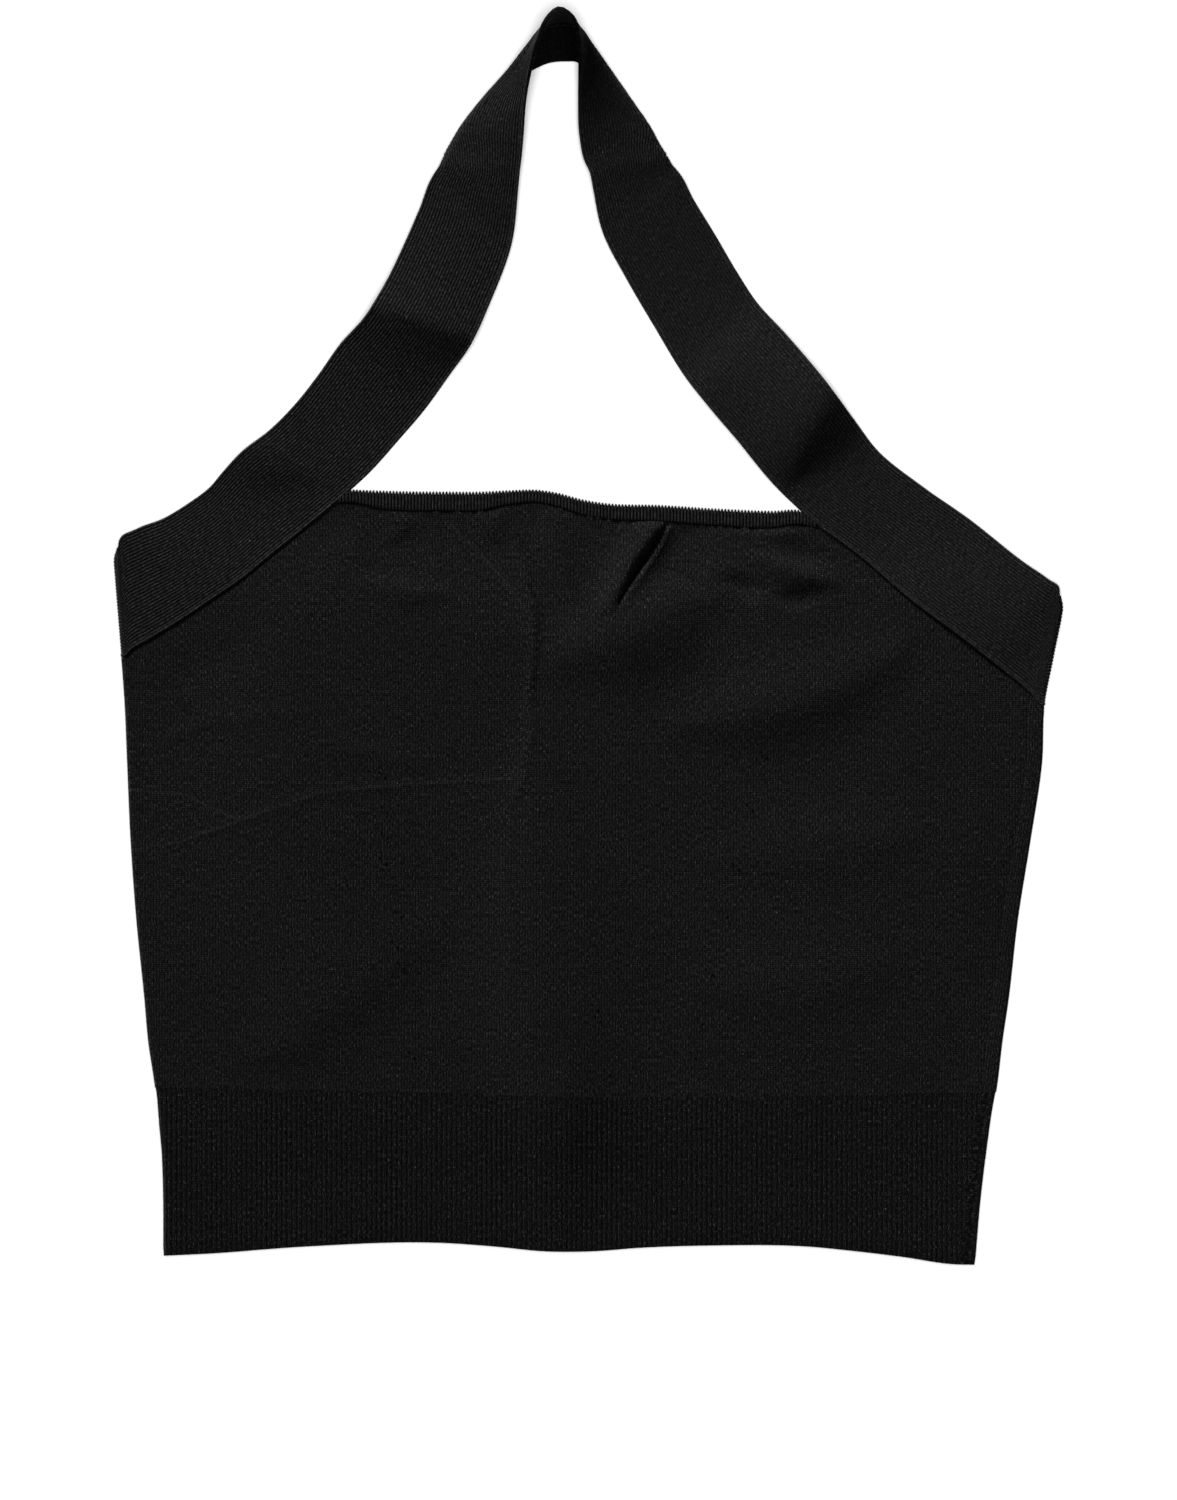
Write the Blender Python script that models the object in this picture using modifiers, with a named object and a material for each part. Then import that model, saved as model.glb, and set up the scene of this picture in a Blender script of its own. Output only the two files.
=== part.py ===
"""Halter neck top in fine knit, laid flat with its front up.  Metres, +Z up, floor at z = 0.

The body is a flattened tube: a jersey front and back with a ribbed hem, turned round a fold at each side.
One wide ribbed band runs from the left fold up one arm, round the neck and down to the right fold, and
goes on across the back as the back band.  A narrow ribbed trim binds the front neckline.
Tables and sizes are in millimetres and each wall is built from its own middle surface.
"""
from collections import namedtuple

import bpy
import numpy as np

MM = 0.001
COLLECTION = "halter_neck_top"

# Cloth thicknesses and layers
JERSEY_THICKNESS = 1.2
HEM_THICKNESS = 1.8
BAND_THICKNESS = 1.6
TRIM_THICKNESS = 2.4
FRONT_LIFT = 2.2            # underside of the front layer where it lies over the back layer
LIFT_START = 2.0            # past the back's top edge, where the front layer begins to come down
LIFT_RUN = 20.0             # length over which it comes down to the floor
SEAM_GAP = 0.35             # between pieces that are linked together
SEAM_INSET = 6.0            # the tube is turned, so both side seams lie this far in from the folds
FOLD_STEPS = 6              # facets round a side fold

# Hem rib
RIB_PITCH = 2.15
RIB_HEIGHT = 0.5
RIB_SHAPE = ((0.0, 0.0), (0.28, 1.0), (0.72, 1.0))   # place in the pitch, share of the height
RIBS_PER_INNER_STEP = 3
HEM_ROWS = ((0.0, 1.0), (0.5, 1.0), (0.95, 1.0), (1.0, 0.35))   # share of the depth, share of rib height

# Outline of the body: both folds, from the hem up to the corners of the band
Side = namedtuple("Side", "y left right")
SIDES = (
    Side(-272.0, -182.5, 166.5), Side(-242.5, -182.5, 169.0), Side(-225.5, -183.0, 171.0),
    Side(-208.0, -184.5, 173.5), Side(-194.0, -186.0, 176.0), Side(-173.5, -189.0, 178.5),
    Side(-156.5, -190.5, 181.0), Side(-122.0, -194.0, 185.0), Side(-87.5, -196.5, 190.5),
    Side(-53.5, -198.0, 195.5), Side(-30.0, -199.0, 196.5), Side(-9.0, -200.5, 200.5),
    Side(15.5, -202.5, 205.0), Side(34.5, -204.0, 205.5),
)

# Lower edge of the hem, and the line where the rib starts
Hem = namedtuple("Hem", "x bottom top")
HEM = (
    Hem(-184.0, -266.5, -194.0), Hem(-163.0, -265.5, -194.3), Hem(-122.0, -262.5, -195.0),
    Hem(-60.0, -261.0, -196.3), Hem(-39.5, -262.5, -197.0), Hem(-18.5, -264.5, -197.7),
    Hem(2.0, -264.5, -198.0), Hem(22.5, -263.0, -198.0), Hem(53.5, -262.0, -198.0),
    Hem(95.0, -262.5, -197.7), Hem(115.5, -264.5, -197.3), Hem(136.0, -267.0, -196.8),
    Hem(156.5, -270.0, -196.4), Hem(170.0, -270.3, -196.0),
)

# The band across the back: from fold to fold it dips towards the middle
BackBand = namedtuple("BackBand", "x bottom top")
BACK_BAND = (
    BackBand(-204.0, -9.0, 34.5), BackBand(-150.0, -25.0, 17.5), BackBand(-80.0, -41.0, 1.0),
    BackBand(0.0, -49.0, -7.0), BackBand(80.0, -48.0, -6.0), BackBand(150.0, -40.0, 3.0),
    BackBand(206.0, -30.0, 14.0),
)

# Neckline trim, upper and lower edge
Trim = namedtuple("Trim", "x bottom top")
TRIM = (
    Trim(-107.0, 57.5, 63.5), Trim(-98.0, 57.0, 63.0), Trim(-91.5, 55.2, 62.8), Trim(-80.5, 54.0, 62.5),
    Trim(-63.0, 53.8, 62.3), Trim(-46.0, 54.0, 62.3), Trim(-33.5, 56.6, 62.8), Trim(-21.5, 57.5, 63.0),
    Trim(-13.0, 55.6, 61.8), Trim(-2.5, 52.3, 59.0), Trim(7.0, 50.5, 57.4), Trim(31.0, 49.3, 56.5),
    Trim(55.0, 47.6, 55.0), Trim(79.5, 46.5, 54.0), Trim(94.5, 48.5, 54.0),
)
TRIM_STEP = 7.0
TRIM_RING = 10              # points round the trim's section
TRIM_HEIGHT_ROUNDING = 0.6  # powers below 1 that square the oval section up
TRIM_DEPTH_ROUNDING = 0.7
TRIM_END_GAP = 0.55
BAND_JOIN_TOP = 60.0        # above this the band's arms have left the front panel

# The band's arms, each row a line straight across the band.  Next to the neck they begin to rise.
Across = namedtuple("Across", "inner_x inner_y outer_x outer_y inner_rise outer_rise", defaults=(0.0, 0.0))
LEFT_ARM = (
    Across(-196.5, -6.5, -201.5, 41.0), Across(-188.0, -1.5, -194.0, 46.0),
    Across(-175.0, 6.5, -182.5, 50.5), Across(-161.5, 15.5, -171.0, 57.5),
    Across(-149.0, 24.0, -163.0, 63.5), Across(-135.5, 35.0, -156.5, 71.0),
    Across(-123.0, 45.0, -149.0, 79.0), Across(-108.0, 57.5, -136.8, 88.5),
    Across(-93.5, 70.5, -125.5, 100.0), Across(-81.0, 84.5, -116.0, 112.0),
    Across(-69.5, 98.0, -106.0, 126.0), Across(-59.5, 112.0, -96.0, 137.0),
    Across(-50.0, 125.5, -86.5, 152.5, 0.3, 0.0), Across(-42.0, 143.0, -79.5, 167.0, 1.0, 0.2),
    Across(-33.0, 167.0, -72.5, 183.0, 2.2, 0.4),
)
RIGHT_ARM = (
    Across(6.5, 173.5, 46.0, 187.0, 1.8, 0.4), Across(17.0, 153.0, 55.5, 171.5, 0.7, 0.2),
    Across(29.0, 132.5, 64.0, 157.0), Across(41.5, 112.0, 74.0, 142.0), Across(52.5, 98.0, 85.5, 129.5),
    Across(64.0, 84.5, 100.0, 112.5), Across(81.5, 63.5, 115.0, 92.5), Across(96.5, 49.5, 125.0, 79.5),
    Across(117.0, 34.0, 144.5, 64.0), Across(138.5, 15.5, 164.5, 50.0), Across(160.0, -0.5, 186.5, 32.5),
    Across(178.5, -15.0, 198.0, 24.5), Across(190.5, -25.0, 203.0, 20.0),
)

# The band round the neck: its inner edge stands up, and its outer part is tucked under at a soft fold.
# rise: height above the flat band, of the inner edge, the ends of the fold and the outer edge
Neck = namedtuple(
    "Neck", "inner_x inner_y inner_rise fold_x fold_y bend upper_rise lower_rise outer_x outer_y outer_rise",
)
NECK = (
    Neck(-29.8, 192.0, 4.0, -62.2, 199.6, 2.2, 1.6, 0.8, -64.8, 200.4, 0.2),
    Neck(-29.2, 198.5, 5.2, -61.6, 205.3, 2.0, 3.6, 1.5, -60.6, 205.6, 0.0),
    Neck(-28.4, 205.0, 6.6, -59.2, 210.3, 2.2, 4.0, 0.4, -55.2, 210.6, 0.0),
    Neck(-27.5, 215.0, 9.0, -55.0, 217.5, 2.4, 4.4, 0.0, -45.5, 214.5, 0.0),
    Neck(-26.5, 229.0, 13.0, -44.8, 230.8, 2.4, 5.0, 0.0, -32.5, 228.5, 0.0),
    Neck(-24.5, 242.5, 20.0, -34.0, 243.0, 2.6, 7.0, 1.0, -26.5, 241.0, 0.0),
    Neck(-21.5, 254.5, 25.5, -25.0, 253.0, 3.0, 13.6, 6.0, -20.0, 245.5, 0.0),
    Neck(-17.5, 264.5, 25.0, -18.5, 258.0, 4.0, 17.5, 9.5, -16.0, 246.8, 0.0),
    Neck(-12.5, 269.3, 25.5, -12.5, 261.0, 4.0, 18.0, 9.5, -12.5, 247.3, 0.0),
    Neck(-6.5, 265.5, 25.0, -6.3, 258.5, 4.0, 17.5, 9.5, -8.5, 247.3, 0.0),
    Neck(-3.5, 254.5, 22.0, 1.6, 253.5, 3.0, 12.5, 5.5, -4.5, 247.0, 0.0),
    Neck(-3.5, 242.5, 13.5, 9.2, 243.5, 2.6, 6.5, 1.0, 1.0, 242.0, 0.0),
    Neck(-4.0, 229.0, 8.4, 19.0, 229.5, 2.4, 4.6, 0.0, 8.5, 230.0, 0.0),
    Neck(-3.5, 215.0, 5.8, 27.2, 217.5, 2.4, 4.2, 0.0, 18.0, 217.5, 0.0),
    Neck(-1.7, 205.0, 4.6, 31.0, 210.5, 2.2, 4.0, 0.4, 27.0, 211.0, 0.0),
    Neck(1.0, 199.0, 4.2, 34.0, 205.5, 2.0, 3.6, 1.5, 33.0, 205.7, 0.0),
    Neck(2.2, 193.0, 3.6, 35.2, 200.2, 2.2, 1.6, 0.8, 37.8, 201.0, 0.2),
)
UPPER_STEPS = 5             # facets from the inner edge to the fold
BEND_STEPS = 4              # facets round the fold
LOWER_STEPS = 3             # facets from the fold to the outer edge
ACROSS_STEPS = UPPER_STEPS + BEND_STEPS + LOWER_STEPS
ARM_STEP = 8.0              # spacing of the rows of facets along the band
BEND_BULGE = 4.0 / 3.0      # handle length that makes a cubic curve reach the fold's outline

# Folds in the cloth: a soft ridge or, with a height below zero, a trough, from one end to the other
Fold = namedtuple("Fold", "x0 y0 x1 y1 width height")
FRONT_SWELL = 1.5           # the front layer stands this much off the back between its edges
SWELL_RUN = 14.0
FRONT_FOLDS = (
    Fold(38.0, 50.0, 12.0, 12.0, 3.2, -1.5), Fold(29.0, 51.0, 5.0, 14.0, 4.5, 2.0),
    Fold(45.0, 49.0, 22.0, 14.0, 5.0, 0.8), Fold(82.0, 40.0, 104.0, 32.0, 5.0, -1.0),
    Fold(58.0, 24.0, 80.0, 20.5, 5.0, -1.0), Fold(50.0, 17.0, -10.0, -9.0, 15.0, 1.8),
    Fold(42.0, -38.0, 132.0, -12.0, 13.0, 1.8), Fold(-21.0, 52.0, -24.0, -24.0, 4.0, 0.9),
    Fold(-25.0, -40.0, -21.0, -190.0, 20.0, 1.8), Fold(-96.0, 52.0, -95.0, 36.0, 4.0, -0.9),
    Fold(-174.0, -88.0, -30.0, -61.0, 4.5, 0.5), Fold(-130.0, -176.0, -70.0, -128.0, 11.0, 1.2),
)
BAND_FOLDS = (
    Fold(-96.0, 144.0, -46.0, 127.0, 14.0, 5.6), Fold(-156.0, 85.0, -126.0, 71.0, 9.0, 1.8),
    Fold(52.0, 84.0, 96.0, 124.0, 15.0, 2.4), Fold(86.0, 73.0, 126.0, 111.0, 11.0, 4.6),
)

FOLD_END_SHARE = 0.35       # share of a fold's height that is left at its ends

# Facets
FRONT_ROWS = 15
BACK_ROWS = 8
BACK_COLUMNS = 17
BAND_ROWS = 3
COLUMN_STEP = 4.5           # least spacing of the front panel's columns
EDGE_ROUNDS = 5             # rounds of closing in on a point where a column meets a slanting edge


def column(table, name):
    return np.array([getattr(row, name) for row in table], dtype=float)


def smooth(keys, values, at):
    """Values read along a smooth curve through the rows of a table."""
    keys = np.asarray(keys, dtype=float)
    values = np.asarray(values, dtype=float)
    at = np.clip(np.asarray(at, dtype=float), keys[0], keys[-1])
    slope = np.gradient(values, keys)
    i = np.clip(np.searchsorted(keys, at, side="right") - 1, 0, len(keys) - 2)
    span = keys[i + 1] - keys[i]
    t = (at - keys[i]) / span
    rise = (2 * t**3 - 3 * t**2 + 1) * values[i] + (3 * t**2 - 2 * t**3) * values[i + 1]
    return rise + span * ((t**3 - 2 * t**2 + t) * slope[i] + (t**3 - t**2) * slope[i + 1])


def left_x(y):
    return smooth(column(SIDES, "y"), column(SIDES, "left"), y)


def right_x(y):
    return smooth(column(SIDES, "y"), column(SIDES, "right"), y)


def hem_bottom(x):
    return smooth(column(HEM, "x"), column(HEM, "bottom"), x)


def rib_start(x):
    return smooth(column(HEM, "x"), column(HEM, "top"), x)


def back_band_top(x):
    return smooth(column(BACK_BAND, "x"), column(BACK_BAND, "top"), x)


def back_band_bottom(x):
    return smooth(column(BACK_BAND, "x"), column(BACK_BAND, "bottom"), x)


def under_seam():
    """Lower edge of the band on the underside, from fold to fold."""
    radius = (FRONT_LIFT + BAND_THICKNESS) / 2
    west, east = float(left_x(BACK_BAND[0].bottom)), float(right_x(BACK_BAND[-1].bottom))
    x = np.linspace(west + SEAM_INSET, east - SEAM_INSET, BACK_COLUMNS)
    y = back_band_bottom(x)
    x = np.concatenate([[west + radius], x, [east - radius]])
    y = np.concatenate([[BACK_BAND[0].bottom], y, [BACK_BAND[-1].bottom]])
    return np.column_stack([x, y])


def ease(t):
    t = np.clip(t, 0.0, 1.0)
    return t * t * (3.0 - 2.0 * t)


def lift(x, y):
    """Height of the front layer's underside: over the back layer, then down to the floor past it."""
    past = y - back_band_top(x) - LIFT_START
    return FRONT_LIFT * (1.0 - ease(past / LIFT_RUN))


def fold_height(folds, x, y):
    """Sum of the soft ridges and troughs at a place."""
    total = 0.0
    for fold in folds:
        run_x, run_y = fold.x1 - fold.x0, fold.y1 - fold.y0
        share = ((x - fold.x0) * run_x + (y - fold.y0) * run_y) / (run_x**2 + run_y**2)
        held = min(max(share, 0.0), 1.0)
        away = np.hypot(x - fold.x0 - held * run_x, y - fold.y0 - held * run_y)
        taper = FOLD_END_SHARE + (1.0 - FOLD_END_SHARE) * np.sin(np.pi * held)
        total += fold.height * taper * np.exp(-(away / fold.width) ** 2)
    return total


# ---------------------------------------------------------------- meshes

def cloth_material(name, shade, roughness):
    material = bpy.data.materials.new(name)
    material.use_nodes = True
    shader = material.node_tree.nodes["Principled BSDF"]
    shader.inputs["Base Color"].default_value = (shade, shade, shade, 1.0)
    shader.inputs["Roughness"].default_value = roughness
    shader.inputs["Metallic"].default_value = 0.0
    material.diffuse_color = (shade, shade, shade, 1.0)
    return material


def new_object(name, points, faces, material):
    mesh = bpy.data.meshes.new(name)
    mesh.from_pydata([tuple(MM * np.asarray(p)) for p in points], [], faces)
    mesh.validate()
    piece = bpy.data.objects.new(name, mesh)
    bpy.data.collections[COLLECTION].objects.link(piece)
    mesh.materials.append(material)
    mesh.shade_smooth()
    return piece


def sheet_faces(rows, cols):
    """Quads of a grid whose rows follow one another, seen from the side of its outer face."""
    return [
        (r * cols + c, r * cols + c + 1, (r + 1) * cols + c + 1, (r + 1) * cols + c)
        for r in range(rows - 1) for c in range(cols - 1)
    ]


def cloth_wall(name, grid, thickness, material, even=True):
    """A wall of cloth: an open middle surface made solid, half its thickness to each side."""
    rows, cols = len(grid), len(grid[0])
    piece = new_object(name, [p for row in grid for p in row], sheet_faces(rows, cols), material)
    wall = piece.modifiers.new("thickness", "SOLIDIFY")
    wall.thickness = thickness * MM
    wall.offset = 0.0
    wall.use_even_offset = even
    return piece


# ---------------------------------------------------------------- the band

def band_section(inner, upper, bend, lower, outer):
    """One line of points across the band: inner edge, fold, outer edge."""
    points = [inner + (upper - inner) * k / UPPER_STEPS for k in range(UPPER_STEPS)]
    handle_in = upper + BEND_BULGE * (bend - upper) * (1, 1, 0)
    handle_out = lower + BEND_BULGE * (bend - lower) * (1, 1, 0)
    for k in range(BEND_STEPS):
        t = k / BEND_STEPS
        points.append(
            (1 - t)**3 * upper + 3 * t * (1 - t)**2 * handle_in
            + 3 * t**2 * (1 - t) * handle_out + t**3 * lower
        )
    points += [lower + (outer - lower) * k / LOWER_STEPS for k in range(LOWER_STEPS + 1)]
    return np.array(points)


def flat_section(row):
    """A section of an arm, evenly divided across."""
    inner = np.array([row.inner_x, row.inner_y, 0.0])
    outer = np.array([row.outer_x, row.outer_y, 0.0])
    section = np.linspace(inner, outer, ACROSS_STEPS + 1)
    for point in section:
        ridge = max(fold_height(BAND_FOLDS, point[0], point[1]), 0.0)
        point[2] = BAND_THICKNESS / 2 + lift(point[0], point[1]) + ridge
    section[:, 2] += np.linspace(row.inner_rise, row.outer_rise, len(section))
    return section


def neck_section(row):
    """A section of the neck, where the band stands on its tucked outer part."""
    floor = BAND_THICKNESS / 2
    inner = np.array([row.inner_x, row.inner_y, floor + row.inner_rise])
    fold = np.array([row.fold_x, row.fold_y, floor])
    outer = np.array([row.outer_x, row.outer_y, floor + row.outer_rise])
    to_inner = (inner - fold) * (1, 1, 0)
    to_outer = (outer - fold) * (1, 1, 0)
    hidden = np.linalg.norm(to_outer)
    upper = fold + row.bend * to_inner / np.linalg.norm(to_inner) + (0, 0, row.upper_rise)
    lower = fold + min(row.bend, hidden / 2) * to_outer / hidden + (0, 0, row.lower_rise)
    return band_section(inner, upper, fold, lower, outer)


def side_section(side_x, inward, y_inner, y_outer, angle):
    """A section on the side fold: angle 180 is on top, 0 underneath."""
    radius = (FRONT_LIFT + BAND_THICKNESS) / 2
    middle = radius - BAND_THICKNESS / 2
    turn = np.radians(angle)
    y = np.linspace(y_inner, y_outer, ACROSS_STEPS + 1)
    x = side_x(y) + inward * (radius - middle * np.sin(turn))
    z = np.full_like(y, radius - middle * np.cos(turn))
    return np.column_stack([x, y, z])


def end_section(side_x, inward, end):
    """The last section underneath, where the band meets its stretch across the back."""
    low_x = float(side_x(end.bottom)) + inward * SEAM_INSET
    high_x = float(side_x(end.top)) + inward * SEAM_INSET
    y = np.linspace(float(back_band_bottom(low_x)), float(back_band_top(high_x)), ACROSS_STEPS + 1)
    x = np.linspace(low_x, high_x, ACROSS_STEPS + 1)
    return np.column_stack([x, y, np.full_like(y, BAND_THICKNESS / 2)])


def band_sections():
    """Control sections from the left underside, over the neck, to the right underside."""
    left, right = BACK_BAND[0], BACK_BAND[-1]
    turns = np.linspace(0.0, 180.0, FOLD_STEPS + 1)
    fixed_left = [end_section(left_x, 1.0, left)]
    fixed_left += [side_section(left_x, 1.0, left.bottom, left.top, angle) for angle in turns]
    fixed_right = [side_section(right_x, -1.0, right.bottom, right.top, angle) for angle in turns[::-1]]
    fixed_right += [end_section(right_x, -1.0, right)]
    free = [fixed_left[-1]]
    free += [flat_section(row) for row in LEFT_ARM]
    free += [neck_section(row) for row in NECK]
    free += [flat_section(row) for row in RIGHT_ARM]
    free += [fixed_right[0]]
    return fixed_left, free, fixed_right


def loft(sections, step):
    """Rows of points along a smooth path through every control section."""
    sections = np.array(sections)
    gaps = np.linalg.norm(np.diff(sections, axis=0), axis=2).mean(axis=1)
    keys = np.concatenate([[0.0], np.cumsum(gaps)])
    stations = [keys[0]]
    for k, gap in enumerate(gaps):
        pieces = max(1, int(round(gap / step)))
        stations += [keys[k] + gap * (j + 1) / pieces for j in range(pieces)]
    rows = np.zeros((len(stations), sections.shape[1], 3))
    for point in range(sections.shape[1]):
        for axis in range(3):
            rows[:, point, axis] = smooth(keys, sections[:, point, axis], stations)
    return rows


def band_grid():
    fixed_left, free, fixed_right = band_sections()
    rows = loft(free, ARM_STEP)
    floor = BAND_THICKNESS / 2
    rows[:, :, 2] = np.maximum(rows[:, :, 2], floor)     # nothing dips below the floor
    return list(fixed_left[:-1]) + list(rows) + list(fixed_right[1:])


# ---------------------------------------------------------------- the body

def trim_rings(grid):
    """Rings of the neckline trim, its ends slanted along the inner edges of the band's arms."""
    inner = np.array([row[0] for row in grid])
    top_of_neck = int(np.argmax(inner[:, 1]))
    arm_left, arm_right = inner[:top_of_neck], inner[top_of_neck:][::-1]
    rings = []
    length = TRIM[-1].x - TRIM[0].x
    for x in np.linspace(TRIM[0].x, TRIM[-1].x, int(length / TRIM_STEP)):
        share = (x - TRIM[0].x) / length
        low = float(smooth(column(TRIM, "x"), column(TRIM, "bottom"), x))
        high = float(smooth(column(TRIM, "x"), column(TRIM, "top"), x))
        ring = []
        for turn in np.linspace(0.0, 2.0 * np.pi, TRIM_RING, endpoint=False):
            reach = np.sign(np.cos(turn)) * abs(np.cos(turn)) ** TRIM_HEIGHT_ROUNDING
            thick = np.sign(np.sin(turn)) * abs(np.sin(turn)) ** TRIM_DEPTH_ROUNDING
            y = (low + high) / 2 + (high - low) / 2 * reach
            west = np.interp(y, arm_left[:, 1], arm_left[:, 0]) + TRIM_END_GAP
            east = np.interp(y, arm_right[:, 1], arm_right[:, 0]) - TRIM_END_GAP
            z = TRIM_THICKNESS / 2 * (1.0 + thick) + float(lift(x, y))
            ring.append((west + share * (east - west), y, z))
        rings.append(ring)
    return rings


def neckline_edge(grid, rings):
    """Upper edge of the front panel: along the band's inner edge, then below the trim."""
    middle = np.array([ring[TRIM_RING // 2][:2] for ring in rings])
    inner = np.array([row[0][:2] for row in grid])[FOLD_STEPS + 1:-(FOLD_STEPS + 1)]
    low = inner[:, 1] < BAND_JOIN_TOP
    left = inner[low & (inner[:, 0] < middle[0, 0] - SEAM_GAP)]
    right = inner[low & (inner[:, 0] > middle[-1, 0] + SEAM_GAP)]
    return np.vstack([left, middle, right])


def below(line, x):
    """Height of a seam line less the seam gap, measured square to the line."""
    y = np.interp(x, line[:, 0], line[:, 1])
    slope = np.interp(x + 1.0, line[:, 0], line[:, 1]) - np.interp(x - 1.0, line[:, 0], line[:, 1])
    return y - SEAM_GAP * np.hypot(1.0, slope / 2.0)


def swell(x, y, top, bottom):
    """Loft of the front layer, nothing at its edges."""
    room = min(x - float(left_x(y)), float(right_x(y)) - x, top - y, y - bottom)
    return FRONT_SWELL * float(ease(room / SWELL_RUN))


def front_columns(line, radius):
    """Columns of the front panel: kind, and its place where it meets the upper edge."""
    first = float(left_x(BACK_BAND[0].bottom)) + radius
    last = float(right_x(BACK_BAND[-1].bottom)) - SEAM_INSET
    columns = [("under", SEAM_INSET), ("under", (SEAM_INSET + radius) / 2)]
    columns += [("fold", angle) for angle in np.linspace(0.0, 180.0, FOLD_STEPS + 1)]
    previous = first
    for x in line[:, 0]:
        if x - previous > COLUMN_STEP and last - x > COLUMN_STEP / 2:
            columns.append(("top", x))
            previous = x
    return columns + [("top", last)]


def front_grid(line):
    """Middle surface of the front: underside strip, left fold, then across to the right seam."""
    radius = (FRONT_LIFT + JERSEY_THICKNESS) / 2
    middle = radius - JERSEY_THICKNESS / 2
    seam = under_seam()

    def across(share, y):
        west, east = float(left_x(y)) + radius, float(right_x(y)) - SEAM_INSET
        return west + share * (east - west)

    grid = []
    for kind, value in front_columns(line, radius):
        top = BACK_BAND[0].bottom - SEAM_GAP
        share = 0.0
        if kind == "top":
            top = float(below(line, value))
            share = min((value - across(0.0, top)) / (across(1.0, top) - across(0.0, top)), 1.0)
        elif kind == "under":
            top = float(below(seam, float(left_x(top)) + value))
        bottom = HEM[0].top
        for _ in range(EDGE_ROUNDS):
            bottom = float(rib_start(across(share, bottom))) + SEAM_GAP
        points = []
        for v in np.linspace(0.0, 1.0, FRONT_ROWS + 1):
            y = bottom + v * (top - bottom)
            if kind == "top":
                x = across(share, y)
                loft_here = swell(x, y, top, bottom)
                loft_here *= max(0.0, 1.0 + fold_height(FRONT_FOLDS, x, y) / FRONT_SWELL)
                z = JERSEY_THICKNESS / 2 + float(lift(x, y)) + loft_here
            elif kind == "fold":
                turn = np.radians(value)
                x = float(left_x(y)) + radius - middle * np.sin(turn)
                z = radius - middle * np.cos(turn)
            else:
                x = float(left_x(y)) + value
                z = JERSEY_THICKNESS / 2
            points.append((x, y, z))
        grid.append(points)
    return grid


def back_grid(thickness, rows, places, low_edge, high_edge):
    """Middle surface of a back piece: left seam underneath, right fold, strip up to the right seam.

    The places are the columns' x where the piece's upper edge lies flat.
    """
    radius = (FRONT_LIFT + thickness) / 2
    middle = radius - thickness / 2
    start = SEAM_INSET + SEAM_GAP
    columns = [("flat", x) for x in places]
    columns += [("fold", angle) for angle in np.linspace(0.0, 180.0, FOLD_STEPS + 1)]
    columns += [("top", SEAM_INSET - SEAM_GAP)]
    grid = []
    for kind, value in columns:
        x_high = value if kind == "flat" else float(right_x(high_edge(places[-1])))
        high = high_edge(x_high)
        west, east = float(left_x(high)) + start, float(right_x(high)) - radius
        share = (x_high - west) / (east - west)
        low_x = x_high
        for _ in range(EDGE_ROUNDS):
            low = low_edge(low_x)
            low_west, low_east = float(left_x(low)) + start, float(right_x(low)) - radius
            low_x = low_west + share * (low_east - low_west)
        points = []
        for v in rows:
            y = low + v * (high - low)
            west, east = float(left_x(y)) + start, float(right_x(y))
            if kind == "flat":
                x = west + share * (east - radius - west)
                z = thickness / 2
            elif kind == "fold":
                turn = np.radians(value)
                x = east - radius + middle * np.sin(turn)
                z = radius - middle * np.cos(turn)
            else:
                x = east - value
                z = FRONT_LIFT + thickness / 2
            points.append((x, y, z))
        grid.append(points)
    return grid


def back_panel(material):
    seam = under_seam()
    places = [seam[1, 0] + SEAM_GAP] + list(seam[2:-1, 0])

    def high_edge(x):
        return float(below(seam, x))

    def low_edge(x):
        return float(rib_start(x)) + SEAM_GAP

    rows = np.linspace(0.0, 1.0, BACK_ROWS + 1)
    grid = back_grid(JERSEY_THICKNESS, rows, places, low_edge, high_edge)
    return cloth_wall("back_panel", grid, JERSEY_THICKNESS, material)


def hem_rib_back(material):
    west = float(left_x(HEM[0].top)) + SEAM_INSET + SEAM_GAP
    east = float(right_x(HEM[-1].top)) - SEAM_INSET
    places = list(np.linspace(west, east, 2 * BACK_COLUMNS))

    def high_edge(x):
        return float(rib_start(x))

    def low_edge(x):
        return float(hem_bottom(x))

    rows = [row[0] for row in HEM_ROWS]
    grid = back_grid(HEM_THICKNESS, rows, places, low_edge, high_edge)
    return cloth_wall("hem_rib_back", grid, HEM_THICKNESS, material)


def back_band(material):
    """The band across the back, flat on the floor between the ends of the halter strap."""
    seam = under_seam()
    low_places = [seam[1, 0] + SEAM_GAP] + list(seam[2:-2, 0]) + [seam[-2, 0] - SEAM_GAP]
    west = float(left_x(BACK_BAND[0].top)) + SEAM_INSET + SEAM_GAP
    east = float(right_x(BACK_BAND[-1].top)) - SEAM_INSET - SEAM_GAP
    run = low_places[-1] - low_places[0]
    grid = []
    for low_x in low_places:
        high_x = west + (low_x - low_places[0]) / run * (east - west)
        low = np.array([low_x, np.interp(low_x, seam[:, 0], seam[:, 1]), BAND_THICKNESS / 2])
        high = np.array([high_x, float(back_band_top(high_x)), BAND_THICKNESS / 2])
        grid.append(np.linspace(low, high, BAND_ROWS + 1))
    return cloth_wall("back_band", grid, BAND_THICKNESS, material)


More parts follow.
